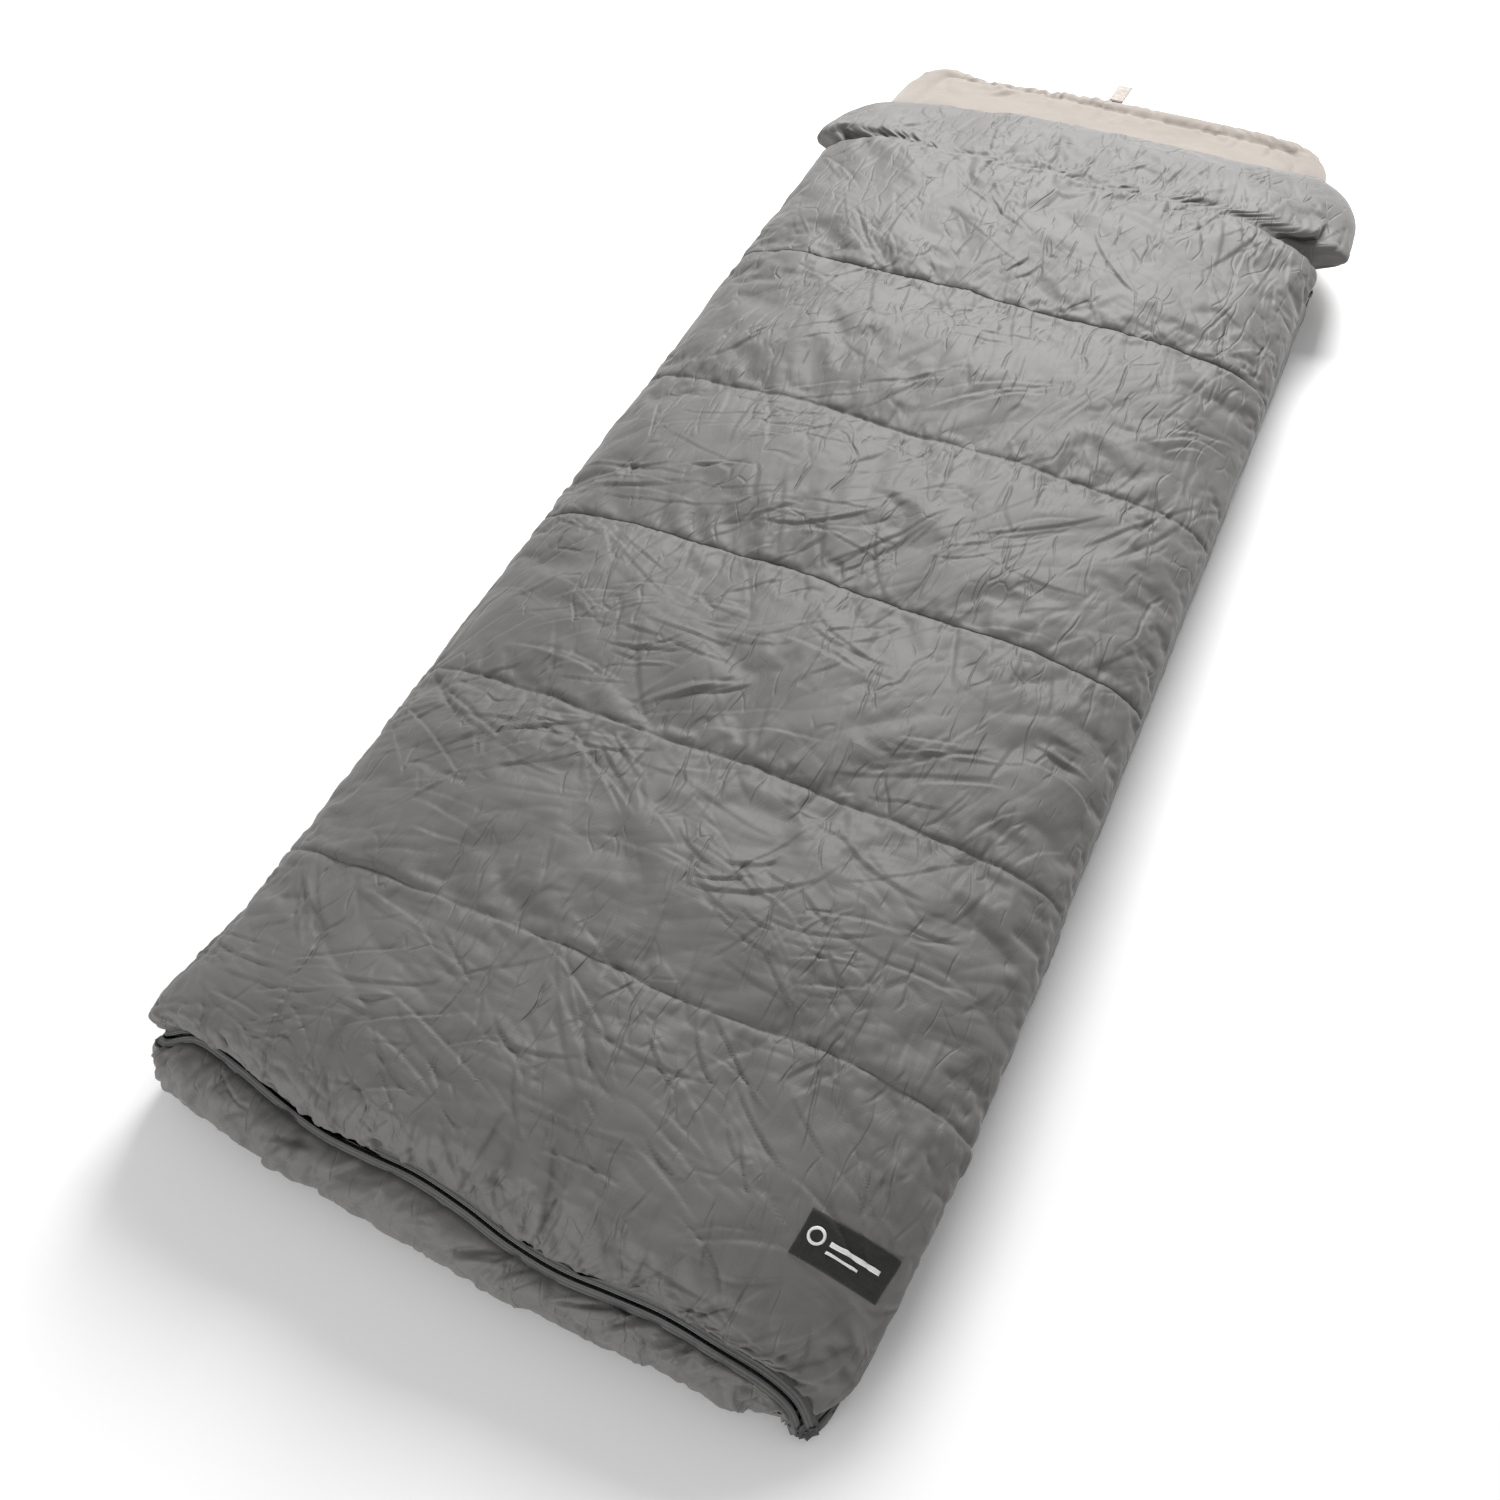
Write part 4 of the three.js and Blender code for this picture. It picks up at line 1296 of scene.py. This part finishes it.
def zip_half(zip_name, half, path, body, side):
    tape = tape_strip(f"{zip_name}_{half}_tape_woven", path, side)
    piece(tape, body, "zip_tape", f"{zip_name}_{half}_tape")
    bead = coil(f"{zip_name}_{half}_coil_turns", path, side)
    piece(bead, body, "zip_coil", f"{zip_name}_{half}_coil")


JOINT_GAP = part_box("side_zip_upper_tape")[0].y - TURN
for zip_name, path in (("long_zip", LONG_ZIP), ("side_zip", SIDE_ZIP)):
    zip_half(zip_name, "mat", part_of(path, None, None), "mat", -1)
    zip_half(zip_name, "quilt", part_of(path, None, TURN - JOINT_GAP), "quilt", 1)
    zip_half(zip_name, "upper", part_of(path, TURN + JOINT_GAP, None), "quilt_upper", 1)


def block(name, centre, size, axes):
    corners = [(i, j, k) for i in (-0.5, 0.5) for j in (-0.5, 0.5) for k in (-0.5, 0.5)]
    points = np.array([centre + sum(c * s * a for c, s, a in zip(corner, size, axes)) for corner in corners])
    faces = [(0, 1, 3, 2), (4, 6, 7, 5), (0, 4, 5, 1), (2, 3, 7, 6), (0, 2, 6, 4), (1, 5, 7, 3)]
    obj = make_mesh(name, points, faces, METAL, smooth_shading=False)
    bevel = obj.modifiers.new("Bevel", "BEVEL")
    bevel.width = 0.0005
    bevel.segments = 2
    return obj


for zip_name, path in (("long_zip", LONG_ZIP), ("side_zip", SIDE_ZIP)):
    along, face, up = (axis[2] for axis in zip_frame(path))
    start = path[0] + face * 0.001
    for part, body, rise, size in (("box", "mat", -0.0025, BOX_SIZE), ("pin", "quilt", 0.0075, PIN_SIZE)):
        moulded = block(f"{zip_name}_{part}_moulded", start + up * rise, size, (along, face, up))
        piece(moulded, body, "zip_metal", f"{zip_name}_{part}")

for zip_name in ("long", "side"):
    for part in ("zip_mat_stop", "zip_quilt_stop", "zip_slider", "zip_pull"):
        node = bpy.data.objects[f"{zip_name}_{part}"]
        node.data.materials.clear()
        node.data.materials.append(METAL)

# ---------------------------------------------------------------- the label
LABEL_LOW, LABEL_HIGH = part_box("label")
LABEL_PLACE = (LABEL_LOW.x, (LABEL_LOW.y + LABEL_HIGH.y) / 2)  # the middle of its end nearer the -X side
LABEL_WIDE, LABEL_TALL = 0.094, 0.043
LABEL_TURN = math.radians(1)
LABEL_THICK = 0.0009


COVER_NORMALS = grid_normals(COVER)
LABEL_ROW, LABEL_COLUMN = nearest_top(COVER, *LABEL_PLACE)
ROW_STEP = np.linalg.norm(COVER[LABEL_ROW + 8, LABEL_COLUMN] - COVER[LABEL_ROW - 8, LABEL_COLUMN]) / 16
COLUMN_STEP = np.linalg.norm(COVER[LABEL_ROW, LABEL_COLUMN + 16] - COVER[LABEL_ROW, LABEL_COLUMN]) / 16


def on_label(u, v, lift):
    """A point on the label: u across it and v up it, both from 0 to 1."""
    across, upward = u * LABEL_WIDE, (v - 0.5) * LABEL_TALL
    column = LABEL_COLUMN + (across * math.cos(LABEL_TURN) - upward * math.sin(LABEL_TURN)) / COLUMN_STEP
    row = LABEL_ROW + (across * math.sin(LABEL_TURN) + upward * math.cos(LABEL_TURN)) / ROW_STEP
    r, c = int(row), int(column)
    fr, fc = row - r, column - c
    weights = (
        (r, c, (1 - fr) * (1 - fc)), (r + 1, c, fr * (1 - fc)),
        (r, c + 1, (1 - fr) * fc), (r + 1, c + 1, fr * fc),
    )
    place = sum(w * COVER[i, j] for i, j, w in weights)
    normal = sum(w * COVER_NORMALS[i, j] for i, j, w in weights)
    return place + normal * lift


def label_grid(us, vs, lift):
    return np.array([[on_label(u, v, lift) for u in us] for v in vs])


def label_pad(name, u0, u1, v0, v1, low, high, steps, material):
    us, vs = np.linspace(u0, u1, steps[0]), np.linspace(v0, v1, steps[1])
    return closed_body(name, label_grid(us, vs, high), label_grid(us, vs, low), material)


def label_ring(name, centre, radius, width, lift):
    """A flat ring sewn on the label; radius and width in metres."""
    middle = radius - width / 2
    section = ((radius - width, 0.4), (middle, 1.0), (radius, 0.4), (middle, -0.4))
    rings = []
    for t in np.linspace(0, 2 * math.pi, 49)[:-1]:
        ring = []
        for r, h in section:
            u, v = centre[0] + r * math.cos(t) / LABEL_WIDE, centre[1] + r * math.sin(t) / LABEL_TALL
            ring.append(on_label(u, v, lift + h * 0.0004))
        rings.append(ring)
    rings = np.array(rings)
    index = np.arange(rings.shape[0] * 4).reshape(-1, 4)
    a, b = index, np.roll(index, -1, axis=0)
    walls = np.stack([a, b, np.roll(b, -1, axis=1), np.roll(a, -1, axis=1)], -1).reshape(-1, 4)
    return make_mesh(name, rings.reshape(-1, 3), [list(f) for f in walls], MARK)


LABEL_LIFT = 0.0010
patch = label_pad("label_patch", 0, 1, 0, 1, LABEL_LIFT - LABEL_THICK, LABEL_LIFT, (40, 20), LABEL)
piece(patch, "quilt", "label", "label")
ring = label_ring("label_mark_ring", (0.15, 0.55), 0.0085, 0.0028, LABEL_LIFT + 0.0002)
piece(ring, "quilt", "label")
for name, (u0, u1), (v0, v1) in (("wide", (0.30, 0.86), (0.50, 0.60)), ("short", (0.30, 0.66), (0.32, 0.38))):
    bar = label_pad(f"label_mark_bar_{name}", u0, u1, v0, v1, LABEL_LIFT, LABEL_LIFT + 0.0005, (24, 4), MARK)
    piece(bar, "quilt", "label")

# ---------------------------------------------------------------- webbing tabs
def folded_tab(name, root, reach, across, width, thick, node):
    """A loop of webbing pressed flat: out along `reach` and back."""
    reach, across = Vector(reach), Vector(across).normalized()
    up = reach.normalized().cross(across)
    if up.z < 0:
        up = -up
    root = Vector(root)
    line = [root + reach * t + up * thick * 0.55 for t in np.linspace(0, 0.94, 8)]
    for turn in (0.8, 1.57, 2.3):
        line.append(root + reach * (0.94 + 0.06 * math.sin(turn)) + up * thick * 0.55 * math.cos(turn))
    line += [root + reach * t - up * thick * 0.55 for t in np.linspace(0.94, 0, 8)]
    path = np.array([list(p) for p in line])
    tangent = np.gradient(path, axis=0)
    tangent /= np.linalg.norm(tangent, axis=1, keepdims=True)
    side = np.array(list(across))
    outward = np.cross(tangent, side)
    half = [(-0.5, -0.4), (-0.5, 0.4), (-0.42, 0.5), (0.42, 0.5)]
    section = half + [(0.5, 0.4), (0.5, -0.4), (0.42, -0.5), (-0.42, -0.5)]
    rings = [path + side * a * width + outward * b * thick * 0.9 for a, b in section]
    rings = np.array(rings).transpose(1, 0, 2)
    piece(ring_stack(name, rings, WEBBING), "mat", "webbing", node)


TAB_LOW, TAB_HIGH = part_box("head_tab")
TAB_X = (TAB_LOW.x + TAB_HIGH.x) / 2
TAB_REACH = (0.004, TAB_HIGH.y - HEAD + 0.012, 0.004)
folded_tab("head_tab_webbing", (TAB_X, HEAD - 0.022, 0.030), TAB_REACH, (1, 0, 0),
           TAB_HIGH.x - TAB_LOW.x, 0.0014, "head_tab")
FOOT_TAB_LOW, FOOT_TAB_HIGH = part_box("foot_tab")
folded_tab("foot_tab_webbing", (-0.380, FOOT + 0.100, 0.014), (-0.026, -0.006, -0.004), (0, 1, 0),
           FOOT_TAB_HIGH.y - FOOT_TAB_LOW.y, 0.0012, "foot_tab")
